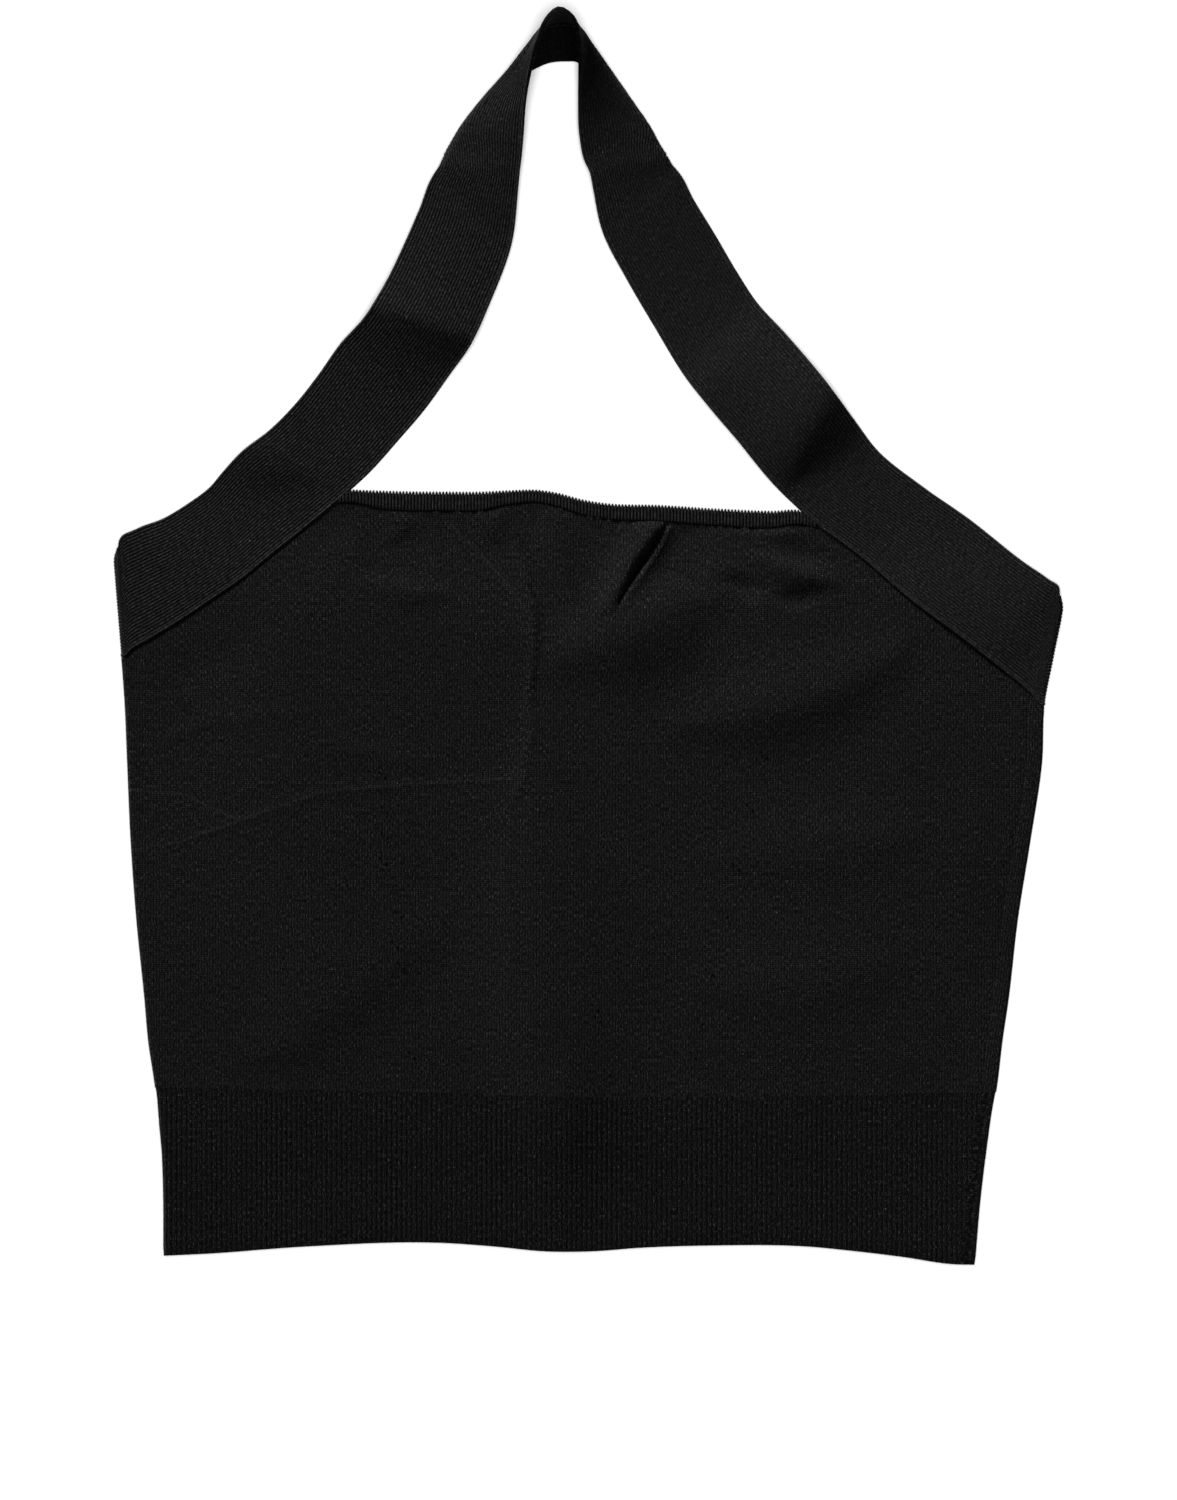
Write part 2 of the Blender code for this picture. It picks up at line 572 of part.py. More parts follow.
def neckline_trim(rings, material):
    """The rounded binding along the front neckline, closed at both ends."""
    points = [point for ring in rings for point in ring]
    faces = []
    for s in range(len(rings) - 1):
        for k in range(TRIM_RING):
            a, b = s * TRIM_RING + k, s * TRIM_RING + (k + 1) % TRIM_RING
            faces.append((a, b, b + TRIM_RING, a + TRIM_RING))
    end = (len(rings) - 1) * TRIM_RING
    faces.append(tuple(reversed(range(TRIM_RING))))
    faces.append(tuple(end + k for k in range(TRIM_RING)))
    return new_object("neckline_trim", points, faces, material)


def hem_columns():
    """Columns of the hem's front: kind, place and share of the rib's height."""
    radius = (FRONT_LIFT + HEM_THICKNESS) / 2
    columns = [("under", SEAM_INSET, 1.0)]
    columns += [("fold", angle, 1.0) for angle in np.linspace(0.0, 180.0, FOLD_STEPS + 1)]
    width = SIDES[0].right - SIDES[0].left - radius - SEAM_INSET
    ribs = RIBS_PER_INNER_STEP * int(width / RIB_PITCH / RIBS_PER_INNER_STEP)
    for rib in range(ribs):
        for place, share in RIB_SHAPE:
            if rib or place:
                columns.append(("top", (rib + place) / ribs, share))
    columns.append(("top", 1.0, 1.0))
    return columns


def hem_edge(edge, kind, value, radius):
    """Height of an edge of the hem's front in one column."""
    y = float(edge(0.0))
    for _ in range(EDGE_ROUNDS):
        west, east = float(left_x(y)), float(right_x(y))
        x = west + value if kind == "under" else west
        if kind == "top":
            x = west + radius + value * (east - SEAM_INSET - west - radius)
        y = float(edge(x))
    return y


def hem_rib_front(material):
    """The ribbed hem's front: ribs raised on the outer face, the inner face plain."""
    radius = (FRONT_LIFT + HEM_THICKNESS) / 2
    inner_radius = radius - HEM_THICKNESS
    columns = hem_columns()
    first_top = 1 + FOLD_STEPS
    rows = len(HEM_ROWS)
    outer, inner = [], []
    for kind, value, share in columns:
        low = hem_edge(hem_bottom, kind, value, radius)
        high = hem_edge(rib_start, kind, value, radius)
        for depth, rib_share in HEM_ROWS:
            y = low + depth * (high - low)
            west, east = float(left_x(y)), float(right_x(y))
            if kind == "under":
                outer.append((west + value, y, 0.0))
                inner.append((west + value, y, HEM_THICKNESS))
            elif kind == "fold":
                turn = np.radians(value)
                for side, reach in ((outer, radius), (inner, inner_radius)):
                    side.append((west + radius - reach * np.sin(turn), y, radius - reach * np.cos(turn)))
            else:
                x = west + radius + value * (east - SEAM_INSET - west - radius)
                sunk = RIB_HEIGHT * (1.0 - share) * rib_share + RIB_HEIGHT * (1.0 - rib_share)
                outer.append((x, y, FRONT_LIFT + HEM_THICKNESS - sunk))
                inner.append((x, y, FRONT_LIFT))
    per_step = len(RIB_SHAPE) * RIBS_PER_INNER_STEP
    kept = list(range(first_top + 1))
    kept += [c for c in range(first_top + per_step, len(columns), per_step)]
    points = list(outer)
    place = {}
    for c in kept:
        place[c] = len(points)
        points += inner[c * rows:(c + 1) * rows]
    faces = [
        (c * rows + r, (c + 1) * rows + r, (c + 1) * rows + r + 1, c * rows + r + 1)
        for c in range(len(columns) - 1) for r in range(rows - 1)
    ]
    for a, b in zip(kept[:-1], kept[1:]):
        i, j = place[a], place[b]
        faces += [(i + r, i + r + 1, j + r + 1, j + r) for r in range(rows - 1)]
        faces.append(tuple([i] + [j] + [c * rows for c in range(b, a - 1, -1)]))
        top = rows - 1
        faces.append(tuple([j + top] + [i + top] + [c * rows + top for c in range(a, b + 1)]))
    for c, turn in ((0, 1), (len(columns) - 1, -1)):
        i, j = c * rows, place[c]
        faces += [(i + r, i + r + 1, j + r + 1, j + r)[::turn] for r in range(rows - 1)]
    return new_object("hem_rib_front", points, faces, material)


def main():
    for thing in list(bpy.data.objects):
        bpy.data.objects.remove(thing, do_unlink=True)
    collection = bpy.data.collections.new(COLLECTION)
    bpy.context.scene.collection.children.link(collection)
    jersey = cloth_material("knit_jersey", 0.011, 0.9)
    rib = cloth_material("knit_rib", 0.009, 0.88)
    band_rib = cloth_material("knit_band_rib", 0.010, 0.86)
    trim_rib = cloth_material("knit_trim_rib", 0.010, 0.88)

    grid = band_grid()
    rings = trim_rings(grid)
    line = neckline_edge(grid, rings)
    cloth_wall("halter_strap", grid, BAND_THICKNESS, band_rib, even=False)
    cloth_wall("front_panel", front_grid(line), JERSEY_THICKNESS, jersey)
    neckline_trim(rings, trim_rib)
    hem_rib_front(rib)
    back_panel(jersey)
    hem_rib_back(rib)
    back_band(band_rib)


main()
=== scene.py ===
from collections import namedtuple

import bmesh
import bpy
import numpy as np
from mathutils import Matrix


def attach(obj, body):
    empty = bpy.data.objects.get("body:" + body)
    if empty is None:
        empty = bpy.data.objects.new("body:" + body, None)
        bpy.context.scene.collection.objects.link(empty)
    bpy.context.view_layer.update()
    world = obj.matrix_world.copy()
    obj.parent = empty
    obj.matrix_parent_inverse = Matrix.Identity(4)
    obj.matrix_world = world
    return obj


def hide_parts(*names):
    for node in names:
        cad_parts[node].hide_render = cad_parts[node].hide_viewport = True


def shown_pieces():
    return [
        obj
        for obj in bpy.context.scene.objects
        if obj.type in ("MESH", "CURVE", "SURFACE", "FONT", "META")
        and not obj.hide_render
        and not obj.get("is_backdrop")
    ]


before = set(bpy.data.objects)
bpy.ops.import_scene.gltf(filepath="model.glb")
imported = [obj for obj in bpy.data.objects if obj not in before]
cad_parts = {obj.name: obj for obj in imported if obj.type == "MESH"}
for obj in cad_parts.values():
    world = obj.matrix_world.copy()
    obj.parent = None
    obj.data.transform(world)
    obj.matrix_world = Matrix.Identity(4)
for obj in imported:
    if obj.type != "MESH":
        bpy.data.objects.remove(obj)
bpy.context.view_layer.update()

# The tables are in millimetres, with the floor at z = 0, +Y towards the neck and +Z up.
MM = 0.001


def table(columns, *rows, defaults=()):
    """A short table: the values of each row under the names of its columns."""
    row = namedtuple("Row", columns, defaults=defaults)
    return [row(*values) for values in rows]


# ---- sizes shared with the solids

JERSEY_THICKNESS, HEM_THICKNESS, BAND_THICKNESS, TRIM_THICKNESS = 1.2, 1.8, 1.6, 2.4
BAND_HALF = BAND_THICKNESS / 2
FRONT_LIFT = 2.2  # underside of the front layer where it lies over the back layer
SEAM_INSET = 6.0  # both side seams lie this far in from the folds
BEND_BULGE = 4.0 / 3.0  # handle length that makes a cubic curve reach the neck fold's outline
BAND_JOIN_TOP = 60.0  # above this the strap's arms have left the front panel

SIDES = table(
    "y left right",
    (-272, -182.5, 166.5), (-242.5, -182.5, 169), (-225.5, -183, 171), (-208, -184.5, 173.5),
    (-194, -186, 176), (-173.5, -189, 178.5), (-156.5, -190.5, 181), (-122, -194, 185),
    (-87.5, -196.5, 190.5), (-53.5, -198, 195.5), (-30, -199, 196.5), (-9, -200.5, 200.5),
    (15.5, -202.5, 205), (34.5, -204, 205.5),
)
HEM = table(
    "x bottom top",
    (-184, -266.5, -194), (-163, -265.5, -194.3), (-122, -262.5, -195), (-60, -261, -196.3),
    (-39.5, -262.5, -197), (-18.5, -264.5, -197.7), (2, -264.5, -198), (22.5, -263, -198),
    (53.5, -262, -198), (95, -262.5, -197.7), (115.5, -264.5, -197.3), (136, -267, -196.8),
    (156.5, -270, -196.4), (170, -270.3, -196),
)
BACK_BAND = table(
    "x bottom top",
    (-204, -9, 34.5), (-150, -25, 17.5), (-80, -41, 1), (0, -49, -7), (80, -48, -6), (150, -40, 3),
    (206, -30, 14),
)
TRIM = table(
    "x bottom top",
    (-107, 57.5, 63.5), (-98, 57, 63), (-91.5, 55.2, 62.8), (-80.5, 54, 62.5), (-63, 53.8, 62.3),
    (-46, 54, 62.3), (-33.5, 56.6, 62.8), (-21.5, 57.5, 63), (-13, 55.6, 61.8), (-2.5, 52.3, 59),
    (7, 50.5, 57.4), (31, 49.3, 56.5), (55, 47.6, 55), (79.5, 46.5, 54), (92, 48, 54), (98.5, 46.4, 51),
)


def arm(*rows):
    """Sections of one arm of the strap, each a line straight across it."""
    return table("inner_x inner_y outer_x outer_y inner_rise outer_rise", *rows, defaults=(0, 0))


LEFT_ARM = arm(
    (-196.5, -6.5, -201.5, 41), (-188, -1.5, -194, 46), (-175, 6.5, -182.5, 50.5),
    (-161.5, 15.5, -171, 57.5), (-149, 24, -163, 63.5), (-135.5, 35, -156.5, 71), (-123, 45, -149, 79),
    (-108, 57.5, -136.8, 88.5), (-93.5, 70.5, -125.5, 100), (-81, 84.5, -116, 112),
    (-69.5, 98, -106, 126), (-59.5, 112, -96, 137), (-50, 125.5, -86.5, 152.5, 0.3, 0),
    (-42, 143, -79.5, 167, 1.2, 0.5), (-33, 167, -72.5, 183, 2.6, 1.3),
)
RIGHT_ARM = arm(
    (6.5, 173.5, 46, 187, 1.8, 1.3), (17, 153, 55.5, 171.5, 0.7, 0.4), (29, 132.5, 64, 157, 0.2, 0),
    (41.5, 112, 74, 142), (52.5, 98, 85.5, 129.5), (64, 84.5, 100, 112.5), (81.5, 63.5, 115, 92.5),
    (96.5, 49.5, 125, 79.5), (117, 34, 144.5, 64), (138.5, 15.5, 164.5, 50), (160, -0.5, 186.5, 32.5),
    (178.5, -15, 198, 24.5), (190.5, -25, 203, 20),
)
# Round the neck the inner edge stands up, and the outer part is tucked under at a fold.  The right side
# lies lower than in the solids.  fall: above 1, the cloth drops steeply at first and then runs out flat
NECK = table(
    "inner_x inner_y inner_rise fold_x fold_y bend upper_rise lower_rise outer_x outer_y outer_rise fall",
    (-29.8, 192, 4, -62.2, 199.6, 2.2, 2.4, 2.3, -64.8, 200.4, 2.2, 1),
    (-29.2, 198.5, 5.2, -61.6, 205.3, 2, 3.4, 1.9, -60.6, 205.6, 1.2, 1),
    (-28.4, 205, 6.6, -59.2, 210.3, 2.2, 3.8, 0.7, -55.2, 210.6, 0.3, 1),
    (-27.5, 215, 9, -55, 217.5, 2.4, 4.4, 0, -45.5, 214.5, 0, 1),
    (-26.5, 229, 13, -44.8, 230.8, 2.4, 5, 0, -32.5, 228.5, 0, 1),
    (-24.5, 242.5, 18, -34, 243, 2.6, 7, 1, -26.5, 241, 0, 1),
    (-21.5, 254.5, 23, -25.6, 253.6, 2, 13, 8, -20, 245.5, 0, 1),
    (-17.5, 264.5, 25, -19.6, 260.4, 1.2, 14, 11.5, -16, 246.8, 0, 1),
    (-12.5, 269.3, 25.5, -12.5, 262.5, 1.2, 15, 12.5, -12.5, 247.3, 0, 1),
    (-6.5, 265.5, 21.5, -4.7, 261.7, 1.2, 12, 9.5, -8.5, 247.3, 0, 1),
    (-3.5, 254.5, 15, 1.8, 253.9, 2, 8.5, 5, -4.5, 247, 0, 1.8),
    (-3.5, 242.5, 9.5, 9.2, 243.5, 2.6, 5, 1, 1, 242, 0, 3.2),
    (-4, 229, 6.2, 19, 229.5, 2.4, 3.6, 0, 8.5, 230, 0, 3.6),
    (-3.5, 215, 5, 27.2, 217.5, 2.4, 3.5, 0, 18, 217.5, 0, 4),
    (-1.7, 205, 4.2, 31, 210.5, 2.2, 3.4, 0.6, 27, 211, 0.3, 4),
    (1, 199, 4.2, 34, 205.5, 2, 3.4, 1.9, 33, 205.7, 1.2, 3),
    (2.2, 193, 3.6, 35.2, 200.2, 2.2, 2.4, 2.3, 37.8, 201, 2.2, 2),
)

# ---- finer sizes of the knit

LIFT_START, LIFT_RUN = 2.0, 42.0  # the front layer comes down past the back's top edge
CORNER_RISE, CORNER_DRAW = 3.5, 0.5  # rounding of the strap's corners at the side folds
ARM_TOP, ARM_TOP_RUN = 200.0, 12.0  # where the creases of the arms end
TUCK = 0.7  # how far a panel's edge runs in under the band, the trim or the next panel
EDGE_SHARE, SIDE_SEAM_SHARE = 0.5, 0.8  # share of the thickness that is left at such an edge
FOLD_STEPS = 12  # facets round a side fold
FOLD_COLUMN = 4.0  # distance from a fold of the next column towards its seam
EDGE_ROUNDS = 6  # rounds of closing in on a point where a column meets a slanting edge
SHARP_ANGLE = 70.0  # rims, and the grooves between fine ribs, are sharper than this

BAND_RIBS, BAND_RIB_HEIGHT = 33, 0.28  # fine ribs across the strap and the back band
BAND_POINTS = 4 * BAND_RIBS + 1
SELVEDGE, SELVEDGE_RISE = 0.035, 0.25  # the thicker edges: share of the band's width, and height
SELVEDGE_ROUNDING = 0.7  # share of half the thickness that is rounded away at the very edge
UPPER_STEPS, BEND_STEPS, LOWER_STEPS = 20, 16, 12  # from inner edge to fold, round it, and past it
ACROSS_POINTS = UPPER_STEPS + BEND_STEPS + LOWER_STEPS + 1
BAND_STEP = 2.3  # spacing of the rows along the strap
BACK_BAND_ROWS, UNDER_SEAM_POINTS = 150, 60

HEM_RIB_PITCH, HEM_RIB_HEIGHT, POINTS_PER_HEM_RIB = 2.15, 0.34, 6
STRAIGHT, TURNED = slice(None), slice(None, None, -1)  # order of columns that turns the outer face outward
HEM_RIB_ROUNDING = 1.4  # power above 1 that widens the grooves
INNER_RIB_SHARE = 0.4  # height of the ribs on the hidden face
RIB_MEAN, RIB_SLOW, RIB_QUICK = 0.72, 0.28, 0.15  # uneven height of the ribs: mean, slow and quick changes
SLOW_LENGTHS, SLOW_START, QUICK_RATE, QUICK_DRIFT = (2.3, 7.0), 1.3, 1.9, 9.0
TURNED_RIBS = 4.0  # ribs round a side fold
HEM_WIDTH = 342.0  # for the number of ribs
HEM_ROWS, HEM_ROW_PACE = 26, 0.9  # a power below 1 draws the rows together at the top
HEM_FADE, HEM_THICKEN = 3.0, 26.0  # heights over which the ribs grow, and the hem thickens
HEM_SWELL_RUN = 40.0  # height over which the hem comes down from the swell of the jersey
WELT_RUN, WELT_SHARE = 1.2, 0.3  # rounding of the lower edge: its height, and share of half the thickness

TRIM_RIB_PITCH, POINTS_PER_TRIM_RIB = 1.43, 4
TRIM_RING, TRIM_ROUND = 22, 20.0  # points and length round the trim's section
TRIM_GROOVE = 0.54  # depth of the trim's grooves, as a share of its half thickness
TRIM_SERRATION = 0.7  # share of that depth that shows in the trim's upper outline
TRIM_HEIGHT_ROUNDING, TRIM_DEPTH_ROUNDING = 0.45, 0.5  # powers below 1 square the oval section up
TRIM_END = 4.0  # the panel's edge leaves the trim for the strap this far before the trim's ends
TRIM_SHOWS, TRIM_SHOWS_RUN = (-104.0, 92.0), 8.0  # where the trim comes out from under the strap

FRONT_SPAN, FRONT_TOP = (-199.0, 192.0), 57.0  # span of the front panel's columns, and top of its rows
COLUMN_STEP = 2.3  # widest spacing of the columns, which stand closer at the pinch and the pressed fold
FINER_COLUMNS = table("middle run less", (24, 24, 1.5), (-28, 9, 1.2))
ROW_STEP, ROW_STEP_LESS = 1.4, 0.45  # widest spacing of the rows, and how much less it is higher up
FINER_ROWS_START, FINER_ROWS_RUN = -60.0, 40.0
BACK_COLUMNS, BACK_ROWS = 130, 60
BACK_FLAP_COLUMN = 5.2  # one more column of the back panel just before its seam on the front

# ---- yarn and colour

WALE, COURSE = 1.21, 0.85  # width and height of a jersey stitch
STITCH_SLANT = 0.45  # how far the legs of a stitch lean, in courses
# The stitch height also sets the colour: painted shade between its legs, between courses and in its
# grooves, and CREST_TONE on its crest.
LEG_SHADE, COURSE_SHADE = 0.55, 0.8  # height between its two legs, and between two courses
CREST_TONE = 1.3
# The heather's specks, the finer fuzz on them, and slower changes of tone: size, and how much they show
FLECK, FLECK_CONTRAST, FLECK_RELIEF, FLECK_STRETCH = 0.9, 3.6, 0.6, (1.7, 0.55, 1.0)
FUZZ, FUZZ_CONTRAST, FUZZ_RELIEF = 0.5, 3.0, 0.5
CLOUD, CLOUD_TONE = 5.0, (0.72, 1.28)
PATCH, PATCH_TONE = 45.0, (0.86, 1.14)
LINT_CELL, LINT_SHARE = 8.0, 0.5  # caught fibres: this share of the cells has one
LINT_SIZE, LINT_TONE = 0.34, 3.5
# Along a pressed line the colour is painted paler: a painted sheen.
PRESS_WIDTH, PRESS_SHEEN = 1.0, 0.6  # half the width of a pressed line, and how much paler it is
# The paler line along a selvedge is a painted highlight, where its rounded edge catches the light.
SELVEDGE_LINE, SELVEDGE_INSET, SELVEDGE_HIGHLIGHT = 0.45, 1.3, 1.6  # the paler line along a selvedge
STITCH_BUMP = (0.8, 0.3)  # strength and depth
ROUGHNESS_SPREAD = 0.08
PLY, PLY_TONE, PLY_BUMP = 0.4, (0.6, 1.4), (0.5, 0.1)  # twist of the thread
FLOOR_TONE, FLOOR_GRAIN = (0.90, 0.93), 6.0

# ---- swell, creases and stitches

FOLD_END_SHARE = 0.35  # share of a crease's height that is left at its ends
END_SPREAD_SHARE = 0.15  # share of a crease's spread that is left where its height is nothing
FRONT_SWELL = 1.5
TRIM_SWELL, HEM_SWELL = 0.2, 0.7  # share of the swell that is left under the trim, and at the hem
SWELL_RUN, SIDE_RUN, STRAP_RUN = 26.0, 90.0, 38.0  # it is full so far from the hem, the folds and the strap
SAG = 0.75  # deepest trough over the back layer
SEAM_DIP, SEAM_DIP_RUN = 0.5, 2.2  # the linked seam draws the panel down along the strap
SEAM_DIP_CALM = 0.7  # and under the trim mostly where the puckers are
SIDE_DIP, SIDE_DIP_RUN = 0.3, 1.5
CREASE_TOP_START, CREASE_TOP_RUN = 0.5, 5.0  # creases fade out over these runs from the panel's edges
CREASE_SIDE_START, CREASE_SIDE_RUN = 2.0, 20.0
CREASE_HEM_RUN = 14.0


def creases(*rows):
    """Soft ridges, or troughs where the height is below zero.

    left, right: how far it spreads to each side as one walks along its line.
    softness: 2 is a round crest and 1 a sharp one.  ends: share of the height at its ends.
    """
    return table("height left right softness line ends", *rows, defaults=(FOLD_END_SHARE,))


# Lines where the cloth was pressed in a fold and its surface is a little polished; that polish is a painted
# sheen, the colour made paler along them
PRESS_LINES = (
    ((-196, -92), (-174, -88), (-150, -79.5), (-115, -67), (-74, -63.5), (-30, -61)),
    ((-196, -66), (-174, -68), (-150, -79)),
    ((-60, 49), (-48, 37), (-37, 25), (-27, 12)),
)
PINCH = ((37.5, 54.5), (33.5, 46), (28.5, 37), (23, 29), (17.5, 20.5), (12, 11))
FRONT_CREASES = creases(
    (3.8, 7, 9, 2, ((33.5, 57), (28, 43), (18.5, 27.5), (9, 13))),
    (-0.8, 12, 3, 2, ((42, 53), (34, 38), (25, 24))),
    (-6.5, 0.9, 2.8, 3, PINCH, 0),
    (4.2, 20, 18, 2, ((50, 17), (38, 12), (18, 2), (-10, -9))),
    (-1.2, 1.8, 1.4, 1, ((33, 29), (43, 25), (54, 16))),
    (2.2, 22, 20, 2, ((48, 30), (80, 28), (106, 22))),
    (-1.7, 5, 5, 2, ((82, 40), (93, 35), (104, 32))),
    (-1.8, 5, 5, 2, ((58, 24), (69, 21), (80, 20.5))),
    (-1.7, 5, 4, 2, ((79, 17), (90, 15), (102, 19))),
    (1.8, 4, 5, 2, ((74, 34), (90, 27), (106, 23))),
    (3.4, 18, 14, 1.8, ((42, -38), (72, -34), (104, -24), (132, -8))),
    (1.2, 1.8, 3.2, 1.2, ((-31, 45), (-26, 26), (-22.8, 8), (-23.2, -8), (-24.8, -26))),
    (0.6, 3.4, 2.6, 1.6, ((-23.6, -14), (-24.8, -30), (-24.6, -44), (-27.5, -62), (-32, -71))),
    (0.3, 3, 4, 1.8, ((-30, -66), (-33.4, -84), (-34.5, -105), (-33.5, -140), (-35.5, -197))),
    (1.6, 9, 8, 2, ((-14, 57), (-13, 38), (-9, 18))),
    (0.7, 8, 4, 2, ((-101, 28), (-100, 46))),
    (1.1, 9, 4.5, 2, ((-86, 41), (-74, 52))),
    (0.9, 10, 6, 2, ((-46, 40), (-35, 54))),
    (1.2, 5, 6, 2, ((-96, 24), (-80, 19), (-60, 18))),
    (0.35, 1.6, 1.6, 1.3, PRESS_LINES[0]),
    (0.4, 4, 5, 2, ((-196, -50), (-160, -36), (-114, -33))),
    (0.5, 5, 6, 2, ((-114, -46), (-90, -51), (-66, -55))),
    (1.4, 26, 12.5, 2, ((-132, -178), (-98, -151), (-66, -126))),
    (-0.7, 12, 12, 2, ((-182, -22), (-150, -6), (-132, 6))),
    (2.2, 42, 42, 2, ((-134, -8), (-130, -90), (-126, -170))),
    (1.3, 44, 45, 2, ((150, -40), (146, -110), (140, -176))),
    (1.4, 16, 16, 2, ((60, -94), (100, -92), (140, -84))),
    (1.4, 16, 16, 2, ((50, -150), (90, -152), (130, -142))),
)
# Creases that run on into the hem
LONG_CREASES = creases(
    (4, 34, 23, 2, ((-22, -30), (-21, -110), (-18, -180), (-13, -262)), 0.1),
    (0.8, 10, 9, 2, ((-9, -176), (-8, -203), (-7, -230)), 0.1),
)
# Creases of the strap's arms, which lie on the floor, so that only ridges show
BAND_CREASES = creases(
    (9.4, 28, 20, 1.25, ((-134, 157), (-94, 142.5), (-72, 135.5), (-50, 128), (-30, 121)), 0.1),
    (2.8, 10, 13, 2, ((-164, 88), (-144, 80), (-122, 70))),
    (1.8, 12, 8, 1.6, ((-66, 208), (-45, 192), (-26, 177))),
    (2.6, 26, 34, 5, ((52, 84), (74, 104), (96, 124)), 0.9),
    (5.9, 30, 13, 1.7, ((84, 66), (101, 99), (121, 136)), 0.05),
    (1.3, 70, 12, 2, ((164, -14), (183, 8), (200, 28)), 0.8),
)
# The line down the middle where the top was folded in half: finely crinkled, and wavering from side to side
PRESS_FOLD = (
    (-31, 46), (-26, 26), (-22.8, 8), (-23.6, -14), (-24.8, -30), (-24.6, -44), (-27.5, -62),
    (-32, -71), (-33.4, -84), (-34.5, -105), (-34, -130),
)
CRINKLE = creases((0.3, 2.6, 3.4, 2, PRESS_FOLD))
WAVER = creases((0.5, 6, 6, 4, PRESS_FOLD, 0.6))
CRINKLE_WAVE, WAVER_WAVE = table("rate drift drift_length slant", (1.7, 2, 4.1, 0.9), (1.6, 1.5, 5.3, 0))

# Little gathers, in groups, where the jersey is drawn up under the trim
PUCKER_PITCH, PUCKER_HEIGHT, PUCKER_RUN = 5.5, 1.3, 4.5
PUCKER_DRIFTS = ((0.5, 11.0), (0.3, 4.3))  # uneven pitch: share of a pitch, and length
PUCKER_GROUP, PUCKER_GROUP_START = 19.0, 1.45

# Small pairs of knots where stitches were narrowed away, in slanting rows; their near-black colour is
# painted shade for the shadowed pits beside them
FASHION_MARKS = table(
    "x y",
    (-88.5, -58), (-87.5, -73), (-87.5, -84), (-88, -95), (-81.5, -118), (-83, -131), (-80.5, -140),
    (-76, -178.5), (75.5, -49.5), (69.5, -72), (63.5, -97.5), (58.5, -118), (52, -143), (48, -164),
    (45, -178.5), (3, -158), (4, -163), (8, -186),
)
KNOT_SIZE, LINK_SIZE = (1.7, 1.0), (1.5, 0.85)  # length and width of a stitch
KNOT_STEPS = table("down side", (0.0, -1.0), (2.6, 1.0))  # the two knots of a pair
KNOT_APART, KNOT_SLANT = 1.3, 0.6
LINK_PITCH, LINK_OFFSET = 1.5, (0.0, -1.2, 0.25)
LINK_RUN, LINK_START = 120.0, 90.0  # they show this far from the left fold, and on the right from here
BEAD_SEGMENTS, BEAD_RINGS = 8, 6
WAY_STEP = 0.5  # distance ahead and back that gives a line its direction


# ---- reading the tables

def smooth(keys, values, at):
    """Values read along a smooth curve through given ones."""
    at = np.clip(at, keys[0], keys[-1])
    slope = np.gradient(values, keys)
    i = np.clip(np.searchsorted(keys, at, side="right") - 1, 0, len(keys) - 2)
    span = keys[i + 1] - keys[i]
    t = (at - keys[i]) / span
    rise = (2 * t**3 - 3 * t**2 + 1) * values[i] + (3 * t**2 - 2 * t**3) * values[i + 1]
    return rise + span * ((t**3 - 2 * t**2 + t) * slope[i] + (t**3 - t**2) * slope[i + 1])


def curve(rows, key, value):
    """A smooth curve through two columns of a table."""
    keys, values = (np.array([getattr(row, name) for row in rows], dtype=float) for name in (key, value))
    return lambda at: smooth(keys, values, at)


left_x, right_x = curve(SIDES, "y", "left"), curve(SIDES, "y", "right")
hem_bottom, rib_start = curve(HEM, "x", "bottom"), curve(HEM, "x", "top")
back_band_bottom, back_band_top = curve(BACK_BAND, "x", "bottom"), curve(BACK_BAND, "x", "top")
trim_bottom, trim_top = curve(TRIM, "x", "bottom"), curve(TRIM, "x", "top")


def ease(t):
    t = np.clip(t, 0.0, 1.0)
    return t * t * (3.0 - 2.0 * t)


def hump(distance, run):
    return np.exp(-(distance / run) ** 2)


def distances(line):
    """How far along a line of points each of them lies."""
    return np.concatenate([[0.0], np.cumsum(np.linalg.norm(np.diff(line, axis=0), axis=1))])


def read_line(line, run, places):
    """Points of a line at given places along it."""
    return np.column_stack([np.interp(places, run, line[:, axis]) for axis in range(3)])


def lift(x, y):
    """Height of the front layer's underside: over the back layer, then down to the floor past it."""
    past = y - back_band_top(x) - LIFT_START
    return FRONT_LIFT * (1.0 - ease(past / LIFT_RUN))


def crease_height(rows, x, y):
    """Sum of the creases at each place, every crease read at its line's nearest point."""
    total = np.zeros(np.broadcast(x, y).shape)
    for crease in rows:
        points = np.array(crease.line)
        runs = np.diff(points, axis=0)
        lengths = np.linalg.norm(runs, axis=1)
        starts = distances(points)
        nearest = np.full(total.shape, np.inf)
        share = np.zeros(total.shape)
        side = np.zeros(total.shape)
        for (x0, y0), (run_x, run_y), length, start in zip(points, runs, lengths, starts):
            held = np.clip(((x - x0) * run_x + (y - y0) * run_y) / length**2, 0.0, 1.0)
            away = np.hypot(x - x0 - held * run_x, y - y0 - held * run_y)
            closer = away < nearest
            nearest = np.where(closer, away, nearest)
            share = np.where(closer, (start + held * length) / starts[-1], share)
            side = np.where(closer, run_x * (y - y0) - run_y * (x - x0), side)
        swelling = np.sin(np.pi * share)
        taper = crease.ends + (1.0 - crease.ends) * swelling
        narrowest = END_SPREAD_SHARE + crease.ends
        spread = np.where(side > 0, crease.left, crease.right) * (narrowest + (1.0 - narrowest) * swelling)
        total += crease.height * taper * np.exp(-(nearest / spread) ** crease.softness)
    return total


# ---- materials

